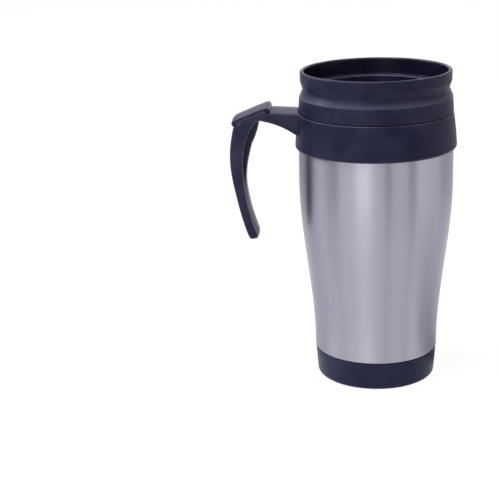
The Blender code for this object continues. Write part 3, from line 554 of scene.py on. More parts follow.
def lid_profile():
    return rounded([
        (0, FLOOR_Z, 0),
        (FLOOR_R, FLOOR_Z, 1.1 * MM),
        (WELL_R, LEDGE_Z, 0.7 * MM),
        (LEDGE_R, LEDGE_Z, 0.9 * MM),
        (RIM_R - RIM_WALL, LID_TOP_Z, RIM_FILLET),
        (RIM_R, LID_TOP_Z, RIM_FILLET),
        (RIM_R, LID_TOP_Z - 5.6 * MM, 3.2 * MM),
        (WAIST_R, LID_SEAM_Z + 13.1 * MM, 2.4 * MM),
        (LID_SEAM_R - 0.6 * MM, SHOULDER_Z, 1.8 * MM),
        (LID_SEAM_R, LID_SEAM_Z, 0.45 * MM),
        (SEAL_ROOM_R, LID_SEAM_Z, 0.2 * MM),
        (SEAL_ROOM_R, SEAL_ROOF_Z, 0),
        (PLUG_R, SEAL_ROOF_Z, 0),
        (PLUG_R, LID_LOW.z, 0.5 * MM),
        (PLUG_BORE_R, LID_LOW.z, 0.3 * MM),
        (PLUG_BORE_R, UNDER_Z, 0.8 * MM),
        (0, UNDER_Z, 0),
    ])


print("rim, waist and floor radii in mm:", [round(r / MM, 1) for r in (RIM_R, WAIST_R, FLOOR_R)])

# %% [markdown]
# The slot, the slide's guide and the vent go through the floor. They are cut with Booleans, and the
# slot gets a second, tapered cutter that leaves a chamfer around its mouth, because a moulded drink
# slot has a softened edge for the lips; a paler plastic on the chamfer paints a thin highlight line.
# All of them are drawn with the slot along +X and then turned to the slot's bearing.

# %% Outlines on the floor
SLIDE_JOINT = next(joint for joint in frame["joints"] if joint["name"] == "slide_travel")
LID_ANGLE = math.atan2(SLIDE_JOINT["axis"][1], SLIDE_JOINT["axis"][0])
SLIDE_TRAVEL = SLIDE_JOINT["range_m"][1]
SLOT_OUTER_R = FLOOR_R - 2.3 * MM
SLOT_INNER_R = SLOT_OUTER_R - 5.9 * MM
SLOT_HALF_ARC = math.radians(14.5)
CHAMFER = 0.45 * MM


def arc(centre, radius, start, end, steps):
    """Points along an arc from one angle to another."""
    turn = end - start
    for k in range(steps + 1):
        angle = start + turn * k / steps
        yield centre[0] + radius * math.cos(angle), centre[1] + radius * math.sin(angle)


def circle(x, radius):
    return list(arc((x, 0), radius, 0, 2 * math.pi, 24))[:-1]


def rectangle(x_low, x_high, y_low, y_high):
    return [(x_low, y_low), (x_high, y_low), (x_high, y_high), (x_low, y_high)]


def slot_outline(extra):
    """The drink slot's outline, let out by a little."""
    middle = (SLOT_INNER_R + SLOT_OUTER_R) / 2
    end = (SLOT_OUTER_R - SLOT_INNER_R) / 2 + extra
    high_end = (middle * math.cos(SLOT_HALF_ARC), middle * math.sin(SLOT_HALF_ARC))
    low_end = (high_end[0], -high_end[1])
    outline = list(arc((0, 0), SLOT_OUTER_R + extra, -SLOT_HALF_ARC, SLOT_HALF_ARC, 24))
    outline += list(arc(high_end, end, SLOT_HALF_ARC, SLOT_HALF_ARC + math.pi, 16))[1:]
    outline += list(arc((0, 0), SLOT_INNER_R - extra, SLOT_HALF_ARC, -SLOT_HALF_ARC, 24))[1:]
    outline += list(arc(low_end, end, math.pi - SLOT_HALF_ARC, 2 * math.pi - SLOT_HALF_ARC, 16))[1:-1]
    return outline


print("the slot bears", round(math.degrees(LID_ANGLE), 1), "degrees from +X")

# %% [markdown]
# A loft joins rings of points that have the same count, and the same helper makes prisms, the
# slide, the thread and the handle. A Boolean then cuts or joins, and its result replaces the mesh,
# so no modifier is left behind.

# %% Lofts and Booleans
def skinned(rings):
    """A closed mesh over rings of points that have the same count."""
    bm = bmesh.new()
    rows = [[bm.verts.new(point) for point in ring] for ring in rings]
    for row, following in zip(rows, rows[1:]):
        for i in range(len(row)):
            j = (i + 1) % len(row)
            bm.faces.new((row[i], row[j], following[j], following[i]))
    bm.faces.new(rows[0][::-1])
    bm.faces.new(rows[-1])
    bmesh.ops.recalc_face_normals(bm, faces=bm.faces)
    return written(bm, "skinned")


def prism(outline, low, high):
    return skinned([[(x, y, low) for x, y in outline], [(x, y, high) for x, y in outline]])


def turned_to_slot(mesh):
    """Turns a mesh made with the slot along +X to the slot's bearing."""
    mesh.transform(Matrix.Rotation(LID_ANGLE, 4, "Z"))
    return mesh


def carve(piece, mesh, operation):
    """A Boolean with a mesh, whose result replaces the piece's own."""
    cutter = bpy.data.objects.new("cutter", mesh)
    bpy.context.scene.collection.objects.link(cutter)
    step = piece.modifiers.new("Carve", "BOOLEAN")
    step.object = cutter
    step.operation = operation
    step.solver = "EXACT"
    bpy.context.view_layer.update()
    made = bpy.data.meshes.new_from_object(piece.evaluated_get(bpy.context.evaluated_depsgraph_get()))
    piece.modifiers.remove(step)
    piece.data = made
    bpy.data.objects.remove(cutter)
    made.set_sharp_from_angle(angle=math.radians(40))


def cut(piece, mesh):
    carve(piece, mesh, "DIFFERENCE")


def joined(piece, mesh):
    carve(piece, mesh, "UNION")


print("points around the slot:", len(slot_outline(0)))

# %% [markdown]
# The lid screws in with a coarse thread of two starts. Each ridge is a small trapezium carried up a
# helix and faded out at its ends, as a mould that has to unscrew itself makes it.

# %% Thread ridge
THREAD_LEAD = 8.0 * MM
THREAD_ARC = math.radians(150)
THREAD_STEPS = 40
THREAD_START_Z = LID_LOW.z + 4.0 * MM
THREAD_ROOT = -0.3 * MM
THREAD_SECTION = ((THREAD_ROOT, -0.85 * MM), (0.8 * MM, -0.5 * MM), (0.9 * MM, -0.35 * MM))


def thread_ridge(start_angle):
    section = THREAD_SECTION + tuple((out, -up) for out, up in reversed(THREAD_SECTION))
    rings = []
    for k in range(THREAD_STEPS + 1):
        share = k / THREAD_STEPS
        fade = min(1.0, 7 * share + 0.1, 7 * (1 - share) + 0.1)
        angle = start_angle + THREAD_ARC * share
        z = THREAD_START_Z + THREAD_LEAD * THREAD_ARC * share / (2 * math.pi)
        ring = []
        for out, up in section:
            radius = PLUG_R + (out if out == THREAD_ROOT else out * fade)
            ring.append((radius * math.cos(angle), radius * math.sin(angle), z + up))
        rings.append(ring)
    return skinned(rings)


print("a ridge climbs", round(THREAD_LEAD * THREAD_ARC / (2 * math.pi) / MM, 2), "mm")

# %% [markdown]
# The shoulder's plastic is a little glossier, and a paler tone painted along its crest stands in for
# the highlight there; it fades upwards over the slope. A gradient on the height makes it, with no hard
# border.

# %% Painted highlight on the shoulder's crest
CREST_Z = SHOULDER_Z + 0.25 * MM


def paint_crest_highlight(material, level, highlight_tone, most):
    """Mixes in a paler tone at a level as a painted highlight, up to a share, and fades it quickly
    below and slowly above.
    """
    height = add(material, "ShaderNodeSeparateXYZ", Vector=own_space(material)).outputs["Z"]
    above = ranged(material, height, level + 3.0 * MM, level + 0.4 * MM, 0.0, most)
    below = ranged(material, height, level - 0.5 * MM, level + 0.2 * MM, 0.0, most)
    share = maths(material, "MINIMUM", above, below)
    tone = shader_of(material).inputs["Base Color"].links[0].from_socket
    shade(material, Base_Color=mixed(material, share, tone, highlight_tone))


# A paler tone painted along the crest stands in for its highlight.
paint_crest_highlight(PLASTIC["shoulder_painted_highlight_plastic"], CREST_Z, (0.075, 0.075, 0.115), 0.53)
print("the crest lies at z", round(CREST_Z / MM, 1), "mm")

# %% [markdown]
# The guide in the floor is the slide's stem let out by its travel and a little play, and the vent
# lies under the slide's pinhole while the slide is open. So the slide's own sizes come first.

# %% Sizes of the slide
SLIDE_FRONT = SLOT_INNER_R - 1.0 * MM
SLIDE_BACK = 5.3 * MM - FLOOR_R
SLIDE_HALF = 12.1 * MM
SLIDE_FRONT_ARC = 40.0 * MM
SLIDE_CUT = 0.6 * MM
SLIDE_LOW_Z = FLOOR_Z + GAP
SLIDE_TOP_Z = SLIDE_LOW_Z + 2.2 * MM
SLIDE_EDGE = 0.55 * MM
PINHOLE_X = SLIDE_BACK + 9.3 * MM
VENT_X = -19.4 * MM
VENT_R = 0.9 * MM
STEM_LENGTH = 12.0 * MM
STEM_WIDTH = 4.4 * MM
GUIDE_PLAY = 0.6 * MM
print("the slide is", round((SLIDE_FRONT - SLIDE_BACK) / MM, 1), "mm long")

# %% Lid skin
def on_well_wall(radius, height, up):
    return FLOOR_R < radius < RIM_R - 1.4 * MM and height > FLOOR_Z + 0.4 * MM and abs(up) < 0.8


def on_painted_highlight_edge(radius, height, up):
    """The inner half of the rim's top, the ledge's inner edge and the chamfer of the slot's mouth,
    where a highlight line is painted.
    """
    lip = radius < RIM_R - RIM_WALL / 2 and height > LID_TOP_Z - 0.7 * MM
    ledge = -0.4 * MM < radius - WELL_R < 2.2 * MM and abs(height - LEDGE_Z) < 0.6 * MM and up > 0.25
    mouth = radius < FLOOR_R - MM and abs(height - FLOOR_Z) < CHAMFER and 0.3 < up < 0.95
    return lip or ledge or mouth


def on_shoulder(radius, height, _):
    return radius > WAIST_R + 0.5 * MM and -0.6 * MM < height - SHOULDER_Z < 3.6 * MM


def cut_floor(lid, outline):
    cut(lid, turned_to_slot(prism(outline, UNDER_Z - MM, FLOOR_Z + MM)))


mesh = turned_mesh("lid_skin", lid_profile(), steps=224)
lid = new_piece("lid_skin", mesh, PLASTIC["black_plastic"], "lid")
cut_floor(lid, slot_outline(0))
rings = []
for up in (-CHAMFER - 0.2 * MM, 0.5 * MM):
    rings.append([(x, y, FLOOR_Z + up) for x, y in slot_outline(CHAMFER + up)])
cut(lid, turned_to_slot(skinned(rings)))
reach = STEM_LENGTH / 2 + GUIDE_PLAY
half = STEM_WIDTH / 2 + GAP
cut_floor(lid, rectangle(-reach, reach + SLIDE_TRAVEL, -half, half))
cut_floor(lid, circle(VENT_X, VENT_R))
# The well's walls get a darker plastic, which paints the shade inside the lid.
refinish(lid, PLASTIC["well_painted_shade_plastic"], on_well_wall)
refinish(lid, PLASTIC["painted_highlight_plastic"], on_painted_highlight_edge)
refinish(lid, PLASTIC["shoulder_painted_highlight_plastic"], on_shoulder)
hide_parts("lid_body")
for number in (1, 2):
    ridge_mesh = thread_ridge(math.pi * (number - 1))
    new_piece(f"lid_thread_{number}", ridge_mesh, PLASTIC["black_plastic"], "lid")

# %% [markdown]
# ## Slide
# The slide is a long flat tongue that covers the drink slot when a finger pushes it by its ridge.
# Its edge is rolled over, and a lighter, glossier plastic on the roll paints the thin highlight line
# around it. A Bevel modifier would round every edge alike, so the plate is a loft of its outline at a
# few heights. An arrow shows the way it moves, and a pinhole at the back lets air in while the slot
# pours.

# %% Slide plate
def slide_outline(inset):
    """The tongue's outline, brought in by a little: an arched front and a round back."""
    half = SLIDE_HALF - inset
    radius = SLIDE_FRONT_ARC - inset
    sweep = math.asin((half - SLIDE_CUT) / radius)
    front = list(arc((SLIDE_FRONT - SLIDE_FRONT_ARC, 0), radius, -sweep, sweep, 20))
    back = list(arc((SLIDE_BACK + SLIDE_HALF, 0), half, math.pi / 2, 3 * math.pi / 2, 40))
    corner_x = front[-1][0] - SLIDE_CUT
    return front + [(corner_x, half)] + back + [(corner_x, -half)]


def slide_plate():
    """The tongue from its eased underside to its rolled top edge, as (inset, height) rings."""
    levels = [(inset * MM, SLIDE_LOW_Z + up * MM) for inset, up in ((0.3, 0), (0.08, 0.08), (0, 0.3))]
    for k in range(6):
        angle = math.pi / 2 * k / 5
        fallen = SLIDE_EDGE * (1 - math.sin(angle))
        levels.append((SLIDE_EDGE * (1 - math.cos(angle)), SLIDE_TOP_Z - fallen))
    levels += [(SLIDE_EDGE + SUPPORT, SLIDE_TOP_Z), (SLIDE_EDGE + 2 * SUPPORT, SLIDE_TOP_Z)]
    return skinned([[(x, y, z) for x, y in slide_outline(inset)] for inset, z in levels])


print("points around the slide:", len(slide_outline(0)))

# %% Ridge, arrow and dash
RIDGE_X = SLIDE_FRONT - 17.2 * MM
RIDGE_LENGTH, RIDGE_THICK, RIDGE_HIGH = 16.6 * MM, 3.0 * MM, 1.7 * MM
ARROW_X = SLIDE_FRONT - 7.6 * MM
ARROW_SIZE = 3.0 * MM
SINK = 0.3 * MM


def ridge():
    """The finger ridge: a lens that tapers to its ends and is crowned along its length."""
    rings = []
    for k in range(31):
        t = k / 15 - 1
        y = RIDGE_LENGTH / 2 * t
        wide = RIDGE_THICK / 2 * (1 - t * t) + 0.12 * MM
        tall = RIDGE_HIGH * (1 - t**6) + 0.05 * MM
        turns = (math.pi * n / 12 for n in range(13))
        section = [(wide * math.cos(turn), tall * math.sin(turn)) for turn in turns]
        section += [(-wide, -SINK), (wide, -SINK)]
        rings.append([(RIDGE_X + x, y, SLIDE_TOP_Z + z) for x, z in section])
    return skinned(rings)


def raised(outline, high):
    """A mark moulded a little proud of the slide, with sloping sides."""
    middle = Vector((sum(x for x, _ in outline), sum(y for _, y in outline))) / len(outline)
    rings = []
    for share, z in ((1.0, -SINK), (1.0, 0.0), (0.93, high)):
        rings.append([
            (middle.x + (x - middle.x) * share, middle.y + (y - middle.y) * share, SLIDE_TOP_Z + z)
            for x, y in outline
        ])
    return skinned(rings)


def arrow_outline():
    tip, neck, tail = ARROW_X + ARROW_SIZE, ARROW_X - ARROW_SIZE / 2, ARROW_X - ARROW_SIZE
    shaft = ARROW_SIZE / 2.5
    return [
        (tip, 0), (neck, ARROW_SIZE), (neck, shaft), (tail, shaft),
        (tail, -shaft), (neck, -shaft), (neck, -ARROW_SIZE),
    ]


print("the ridge stands", RIDGE_HIGH / MM, "mm proud")

# %% [markdown]
# The pieces of the slide are one moulding, so they are joined by Booleans into one body: the plate,
# the marks on top and the stem that goes down through the floor to the clip that holds it.

# %% Slide skin
BARB_LONG, BARB_WIDE = 1.13, 0.8
BARB_HIGH = 0.8 * MM


def on_slide_edge(_, height, up):
    """The rolled edge of the plate, and the top of the ridge, where a highlight line is painted."""
    on_roll = SLIDE_TOP_Z - 0.8 * SLIDE_EDGE < height < SLIDE_TOP_Z and 0.2 < up < 0.97
    return on_roll or height > SLIDE_TOP_Z + 0.5 * MM


plate = turned_to_slot(slide_plate())
slide = new_piece("slide_skin", plate, PLASTIC["slide_plastic"], "slide", sharp=35)
dash = rectangle(PINHOLE_X - 3.0 * MM, PINHOLE_X - 2.5 * MM, 1.5 * MM, 5.5 * MM)
foot_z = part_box("slide_closure")[0].z
stem = rectangle(-STEM_LENGTH / 2, STEM_LENGTH / 2, -STEM_WIDTH / 2, STEM_WIDTH / 2)
barbs = [(x * BARB_LONG, y * BARB_WIDE) for x, y in stem]
for mesh in (
    ridge(), raised(arrow_outline(), 0.35 * MM), raised(dash, 0.25 * MM),
    prism(stem, foot_z, SLIDE_LOW_Z + MM), prism(barbs, foot_z, foot_z + BARB_HIGH),
):
    joined(slide, turned_to_slot(mesh))
pinhole = circle(PINHOLE_X, VENT_R)
cut(slide, turned_to_slot(prism(pinhole, SLIDE_LOW_Z - MM, SLIDE_TOP_Z + MM)))
refinish(slide, PLASTIC["slide_painted_highlight_plastic"], on_slide_edge)
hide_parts("slide_closure")

# %% [markdown]
# ## Handle
# The handle is moulded in one piece: an arm that leaves the collar level, an elbow, and a grip that
# curves in towards its tip. A bevelled curve would keep one section all the way, so it is a loft.
# Each station gives the outer face, the inner face and the crest of the finger pad as (out, up) from
# the collar's top edge, and half the width. The pad is a raised rib inside the grip that fades
# towards the tip, and it stops the fingers from turning.

# %% The handle's stations in millimetres
HANDLE_STATIONS = (
    ((-1.8, 0.6), (-1.8, -13.1), (-1.8, -13.2), 11.0),
    ((3.1, 0.9), (3.1, -9.7), (3.1, -9.8), 11.0),
    ((8.1, 1.2), (8.1, -6.9), (8.1, -7.1), 11.0),
    ((13.6, 1.5), (13.6, -4.7), (14.0, -5.4), 10.9),
    ((18.2, 1.4), (18.2, -3.5), (18.4, -4.6), 10.8),
    ((23.5, -0.8), (21.7, -2.9), (21.6, -4.6), 10.7),
    ((29.3, -3.2), (24.0, -4.7), (22.9, -9.2), 10.5),
    ((35.1, -5.8), (26.4, -8.5), (24.6, -14.1), 10.3),
    ((37.1, -12.6), (28.9, -14.1), (26.1, -17.3), 10.2),
    ((38.2, -20.3), (30.4, -20.3), (27.4, -21.9), 10.0),
    ((38.3, -28.5), (31.2, -27.5), (28.9, -28.5), 9.8),
    ((37.4, -36.6), (31.2, -34.9), (29.8, -35.3), 9.5),
    ((35.9, -44.7), (30.5, -42.5), (29.8, -42.7), 9.3),
    ((34.0, -53.6), (29.2, -51.0), (28.7, -51.2), 9.1),
    ((32.0, -61.6), (27.3, -59.3), (26.8, -59.4), 8.9),
    ((30.1, -67.8), (25.2, -66.0), (24.7, -66.0), 8.7),
    ((28.8, -71.3), (23.8, -69.9), (23.4, -69.9), 8.0),
    ((27.8, -72.9), (24.1, -72.1), (23.9, -72.1), 6.0),
)
STATION_STEPS = 6


def smooth_between(values):
    """Values along a smooth curve through the stations' ones."""
    last = len(values) - 1
    read = []
    for i in range(last):
        a, b, c, d = (values[k] for k in (max(i - 1, 0), i, i + 1, min(i + 2, last)))
        for k in range(STATION_STEPS):
            t = k / STATION_STEPS
            bend = 2 * a - 5 * b + 4 * c - d
            twist = 3 * (b - c) + d - a
            read.append(b + 0.5 * t * ((c - a) + t * (bend + t * twist)))
    read.append(values[last])
    return read


print("stations:", len(HANDLE_STATIONS))

# %% [markdown]
# The two halves of the mould meet along the middle of the outer face, and that leaves a fine groove,
# the parting line. The face is crowned towards it, and its edges are rounder than the inner ones.

# %% One section of the handle
OUTER_EDGE = 0.9 * MM
INNER_EDGE = 0.6 * MM
HANDLE_CROWN = 0.45 * MM
CROWN_SHAPE = ((0.1, 0.95), (0.5, 0.57))
RIB_SHAPE = ((0.68, 0.0), (0.60, 0.10), (0.53, 0.48), (0.46, 0.80), (0.34, 0.95))
PARTING_WIDE = 0.32 * MM
PARTING_DEEP = 0.34 * MM


def corner_arc(side, depth, edge, out_sign):
    """Fillet points from a face to a side, as (across, depth) pairs."""
    for k in range(5):
        angle = math.pi / 2 * k / 4
        yield side - edge * (1 - math.sin(angle)), depth + out_sign * edge * (1 - math.cos(angle))


def handle_section(outer, inner, crest, half):
    """Points of a section: a crowned outer face, filleted sides, and a rib on the inner face."""
    across = (outer - inner).normalized()
    deep = (outer - inner).length
    edge = min(OUTER_EDGE, deep / 3)
    near = min(INNER_EDGE, deep / 3)
    crown = across * HANDLE_CROWN
    side = [(0.0, outer + crown - across * PARTING_DEEP), (PARTING_WIDE, outer + crown)]
    side += [(half * share, outer + crown * rise) for share, rise in CROWN_SHAPE]
    side.append((half - edge - SUPPORT, outer + crown * 0.16))
    side += [(y, outer + across * d) for y, d in corner_arc(half, 0.0, edge, -1)]
    support = min(SUPPORT, (deep - edge - near) / 3)
    side.append((half, outer - across * (edge + support)))
    side.append((half, inner + across * (near + support)))
    side += [(y, inner + across * d) for y, d in reversed(list(corner_arc(half, 0.0, near, 1)))]
    side.append((half - near - 0.5 * SUPPORT, inner))
    side += [(half * share, inner + (crest - inner) * rise) for share, rise in RIB_SHAPE]
    side.append((0.0, crest))
    loop = side + [(-y, p) for y, p in reversed(side[1:-1])]
    return [(-COLLAR_TOP_R - p.x, y, COLLAR_HIGH.z + p.y) for y, p in loop]


# The section's faces on the inner edge, counted from the parting line; a highlight line is painted on
# them.
INNER_EDGE_FACES = range(12, 16)
print("edges in mm:", OUTER_EDGE / MM, "outside and", INNER_EDGE / MM, "inside")

# %% [markdown]
# The thumb rest is a cap that sits on the elbow, so the handle needs its place before it is cut. The
# cap has axes of its own: X runs out along it and Z stands off its face.

# %% Cap frame: the thumb rest's own axes
CAP_INNER = Vector((16.3, 5.05)) * MM
CAP_OUTER = Vector((37.5, -3.5)) * MM
CAP_HALF_WIDTHS = (11.2 * MM, 10.4 * MM)
CAP_SIDE = 1.0 * MM
CAP_END = 2.9 * MM
CAP_END_RUN = 2.2 * MM
CAP_LENGTH = (CAP_OUTER - CAP_INNER).length


def cap_place():
    """Origin at the top's inner edge, X out along the cap, Z off its face."""
    run = (CAP_OUTER - CAP_INNER).normalized()
    x = Vector((-run.x, 0, run.y))
    z = Vector((run.y, 0, run.x))
    axes = Matrix((x, z.cross(x), z)).transposed().to_4x4()
    return Matrix.Translation((-COLLAR_TOP_R - CAP_INNER.x, 0, COLLAR_HIGH.z + CAP_INNER.y)) @ axes


def at_cap(mesh):
    """Moves a mesh made on the cap's axes to its place on the elbow."""
    mesh.transform(cap_place())
    return mesh


print("the cap is", round(CAP_LENGTH / MM, 1), "mm long")

# %% [markdown]
# The handle's root is shaped to the collar it is screwed to. Its elbow gets a raised block that
# fills the cap, and then the room for the cap is cut out of both, with a step at each end where the
# cap's nose and lip reach down.

# %% Handle skin
SEAT_HALF_WIDTHS = (10.66 * MM, 10.22 * MM)
SEAT_DEEP = 5 * MM
ROOM_HIGH, ROOM_REACH, ROOM_HALF = 8 * MM, 30 * MM, 20 * MM


def collar_room():
    """What the collar and the air around it take from the handle's root."""
    above_z = COLLAR_HIGH.z + 5 * MM
    return turned_mesh("collar_room", rounded([
        (0, above_z, 0),
        (COLLAR_TOP_R + GAP, above_z, 0),
        (COLLAR_TOP_R + GAP, COLLAR_HIGH.z, 0),
        (BELL_R - 0.05 * MM + GAP, BELL_Z, 12 * MM),
        (COLLAR_R + GAP, COLLAR_LOW.z, 0),
        (0, COLLAR_LOW.z, 0),
    ]))


def cap_block():
    """The raised seat under the cap's thin roof, a little narrower towards the grip."""
    top_z = -CAP_SIDE - GAP
    start = CAP_END_RUN + GAP
    rings = []
    for share in (0.0, 0.04, 0.3, 0.7, 0.96, 1.0):
        x = start + (CAP_LENGTH - 2 * start) * share
        wide = SEAT_HALF_WIDTHS[0] + (SEAT_HALF_WIDTHS[1] - SEAT_HALF_WIDTHS[0]) * share
        edge = [(wide, z) for z in (-SEAT_DEEP, top_z - 2 * SUPPORT, top_z - SUPPORT, top_z)]
        rings.append([(x, y, z) for y, z in edge + [(-y, z) for y, z in reversed(edge)]])
    return skinned(rings)


def cap_room():
    """What the cap and the air around it take from the elbow."""
    end_z, side_z = -CAP_END - GAP, -CAP_SIDE - GAP
    start, finish_x = CAP_END_RUN + GAP, CAP_LENGTH - CAP_END_RUN - GAP
    outline = (
        (-GAP, ROOM_HIGH), (-GAP, end_z), (start, end_z), (start + GAP, side_z),
        (finish_x - GAP, side_z), (finish_x, end_z), (ROOM_REACH, end_z), (ROOM_REACH, ROOM_HIGH),
    )
    return skinned([[(x, y, z) for x, z in outline] for y in (-ROOM_HALF, ROOM_HALF)])


columns = zip(*HANDLE_STATIONS)
outers, inners, crests = ([Vector(p) * MM for p in next(columns)] for _ in range(3))
halves = [half * MM for half in next(columns)]
curves = [smooth_between(values) for values in (outers, inners, crests, halves)]
rings = [handle_section(*parts) for parts in zip(*curves)]
mesh = skinned(rings)
plastic = PLASTIC["handle_plastic"]
handle = new_piece("handle_skin", mesh, plastic, "mug_body", sharp=50)
# The faces along the grip's inner edge get the paler plastic, which paints a highlight line there.
mesh.materials.append(PLASTIC["painted_highlight_plastic"])
around = len(rings[0])
for face in mesh.polygons[:around * (len(rings) - 1)]:
    place = face.index % around
    if min(place, around - 1 - place) in INNER_EDGE_FACES:
        face.material_index = 1
cut(handle, collar_room())
joined(handle, at_cap(cap_block()))
cut(handle, at_cap(cap_room()))
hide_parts("handle")

# %% [markdown]
# ## Thumb rest
# The cap on the elbow is a separate moulding that clips onto the handle. Its roof is thin at the
# sides and deep at both ends: a bevelled nose towards the lid, and a lip that rolls over the grip.
# The corners are rounded, because the thumb rests on them, and the parting line runs on over it.
# It is a loft as well, because a bevelled box would round the nose, the lip and the corners alike.

# %% Thumb rest skin
CAP_CROWN = 0.5 * MM
CAP_EDGE = 0.35 * MM
CAP_NOSE = 1.9 * MM
CAP_LIP = 1.7 * MM
CAP_CORNER = 1.7 * MM
CAP_ARCH = 0.3 * MM
CAP_STEP = 0.5 * MM
CAP_FOOT_EASE = 0.15 * MM
CAP_PARTING = 0.7 * PARTING_DEEP


def quarter(radius, reach):
    """How far a quarter round has fallen at a distance past its start."""
    reach = min(max(reach, 0.0), radius)
    return radius - math.sqrt(radius**2 - reach**2)


def cap_section(x):
    """A section of the cap at a distance from its inner end: a thin roof with a deep nose and lip."""
    share = x / CAP_LENGTH
    to_end = min(x, CAP_LENGTH - x)
    half = CAP_HALF_WIDTHS[0] + (CAP_HALF_WIDTHS[1] - CAP_HALF_WIDTHS[0]) * share
    half -= quarter(CAP_CORNER, CAP_CORNER - to_end)
    drop = CAP_ARCH * (2 * share - 1) ** 4
    drop += 0.85 * quarter(CAP_NOSE, CAP_NOSE - x) + 0.9 * quarter(CAP_LIP, CAP_LIP - CAP_LENGTH + x)
    deep = CAP_SIDE + (CAP_END - CAP_SIDE) * min(1.0, max(0.0, (CAP_END_RUN - to_end) / CAP_STEP))
    foot = -max(deep, drop + 3 * CAP_EDGE)
    top = [(0.0, CAP_CROWN - CAP_PARTING - drop), (PARTING_WIDE, CAP_CROWN - drop)]
    top += [(half * wide, CAP_CROWN * rise - drop) for wide, rise in CROWN_SHAPE]
    top.append((half - CAP_EDGE - 0.5 * SUPPORT, CAP_CROWN * 0.08 - drop))
    top += [(y, z - drop) for y, z in corner_arc(half, 0.0, CAP_EDGE, -1)]
    top += [(half, foot + CAP_FOOT_EASE), (half - CAP_FOOT_EASE, foot)]
    loop = top + [(-y, z) for y, z in reversed(top[1:])]
    return [(x, y, z) for y, z in loop]


near_end = [CAP_CORNER * share for share in (0.0, 0.06, 0.15, 0.3, 0.5, 0.75, 1.0)]
near_end += [CAP_END_RUN - CAP_STEP, CAP_END_RUN]
places = near_end + [CAP_LENGTH * k / 12 for k in range(2, 11)]
places += [CAP_LENGTH - x for x in reversed(near_end)]
mesh = at_cap(skinned([cap_section(x) for x in places]))
plastic = PLASTIC["cap_plastic"]
cap = new_piece("thumb_rest_skin", mesh, plastic, "mug_body", sharp=50)
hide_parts("thumb_rest")

# %% [markdown]
# ## Pieces inside
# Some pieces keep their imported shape, because they hide between the shells and show only when the
# mug is taken apart: the liner, the foam, the seals, the screws and the slide's clip. They still get
# a finish each, so an exploded view looks right.

# %% Closed-cell foam
CELL_WAVES = (900, 900, 900)


def foam():
    """Foam: pale, rough, with small round cells."""
    material = finish("foam", (0.75, 0.72, 0.62), 0.95, specular=0.2)
    place = stretched(material, CELL_WAVES)
    cells = add(material, "ShaderNodeTexVoronoi", Vector=place, Scale=1.0).outputs["Distance"]
    share = ranged(material, cells, 0.1, 0.7, 0.0, 1.0)
    tone = mixed(material, share, (0.60, 0.56, 0.46), (0.80, 0.77, 0.68))
    shade(material, Base_Color=tone, Normal=bumped(material, cells, 0.5, 0.0003))
    return material


FOAM = foam()
print("foam nodes:", len(FOAM.node_tree.nodes))

# %% Finishes of the pieces inside
INSIDE = {
    "inner_liner": PLASTIC["liner_plastic"],
    "foam_sleeve": FOAM,
    "foam_puck": FOAM,
    "base_seal": PLASTIC["silicone"],
    "collar_seal": PLASTIC["silicone"],
    "lid_seal": PLASTIC["silicone"],
    "handle_screw_1": SCREW_STEEL,
    "handle_screw_2": SCREW_STEEL,
    "slide_retainer": PLASTIC["black_plastic"],
}
for name, material in INSIDE.items():
    materials = nodes[name].data.materials
    materials.clear()
    materials.append(material)
print(len(INSIDE), "pieces inside have their finish")

# %% [markdown]
# ## Camera
# The view is a product shot from a little above: the lid's rim shows as a narrow oval and the handle
# points left. The camera looks past the mug to its left, with no lens shift, and is rolled by about
# two degrees to set the mug upright in the frame.

# %% Camera
CAMERA_PLACE = (-5.0 * MM, -703.5 * MM, 295.8 * MM)
CAMERA_YAW = math.radians(-5.493)
CAMERA_PITCH = math.radians(17.251)
CAMERA_ROLL = math.radians(-1.75)
SENSOR = 36.0
LENS = 91.728

data = bpy.data.cameras.new("camera")
data.sensor_width = SENSOR
data.lens = LENS
data.clip_start = 0.01
camera = bpy.data.objects.new("camera", data)
bpy.context.scene.collection.objects.link(camera)
forward = Vector((
    math.sin(CAMERA_YAW) * math.cos(CAMERA_PITCH),
    math.cos(CAMERA_YAW) * math.cos(CAMERA_PITCH),
    -math.sin(CAMERA_PITCH),
))
level = Vector((math.cos(CAMERA_YAW), -math.sin(CAMERA_YAW), 0))
upright = level.cross(forward)
right = level * math.cos(CAMERA_ROLL) + upright * math.sin(CAMERA_ROLL)
up = upright * math.cos(CAMERA_ROLL) - level * math.sin(CAMERA_ROLL)
turn = Matrix((right, up, -forward)).transposed()
camera.matrix_world = Matrix.Translation(CAMERA_PLACE) @ turn.to_4x4()
bpy.context.scene.camera = camera
print("lens in mm:", round(LENS, 1))

# %% [markdown]
# ## Studio
# The mug stands on white paper in even light. Rays that reach the camera, a gloss or a glass see
# plain white; other rays see a dimmer sky, so the plastic keeps its depth. Brighter lamps could
# bleach the background too, but they would bleach the mug with it.

# %% World
def seen_rays(owner):
    """1 for rays that show the background: seen directly, in a gloss or through glass."""
    rays = add(owner, "ShaderNodeLightPath").outputs
    seen = maths(owner, "MAXIMUM", rays["Is Camera Ray"], rays["Is Glossy Ray"])
    return maths(owner, "MAXIMUM", seen, rays["Is Transmission Ray"])


def blend(owner, output, share, first, second):
    """Shows one shader, and another one by a share."""
    mix = add(owner, "ShaderNodeMixShader")
    for socket, value in zip(mix.inputs, (share, first.outputs[0], second.outputs[0])):
        fill(owner, socket, value)
    fill(owner, output.inputs["Surface"], mix.outputs[0])


world = bpy.data.worlds.new("studio")
bpy.context.scene.world = world
world.use_nodes = True
world.node_tree.nodes.clear()
sky = add(world, "ShaderNodeBackground", Color=(0.95, 0.97, 1.0), Strength=0.38)
paper = add(world, "ShaderNodeBackground", Color=(1, 1, 1), Strength=1.0)
blend(world, add(world, "ShaderNodeOutputWorld"), seen_rays(world), sky, paper)
print("sky strength:", round(sky.inputs["Strength"].default_value, 2))

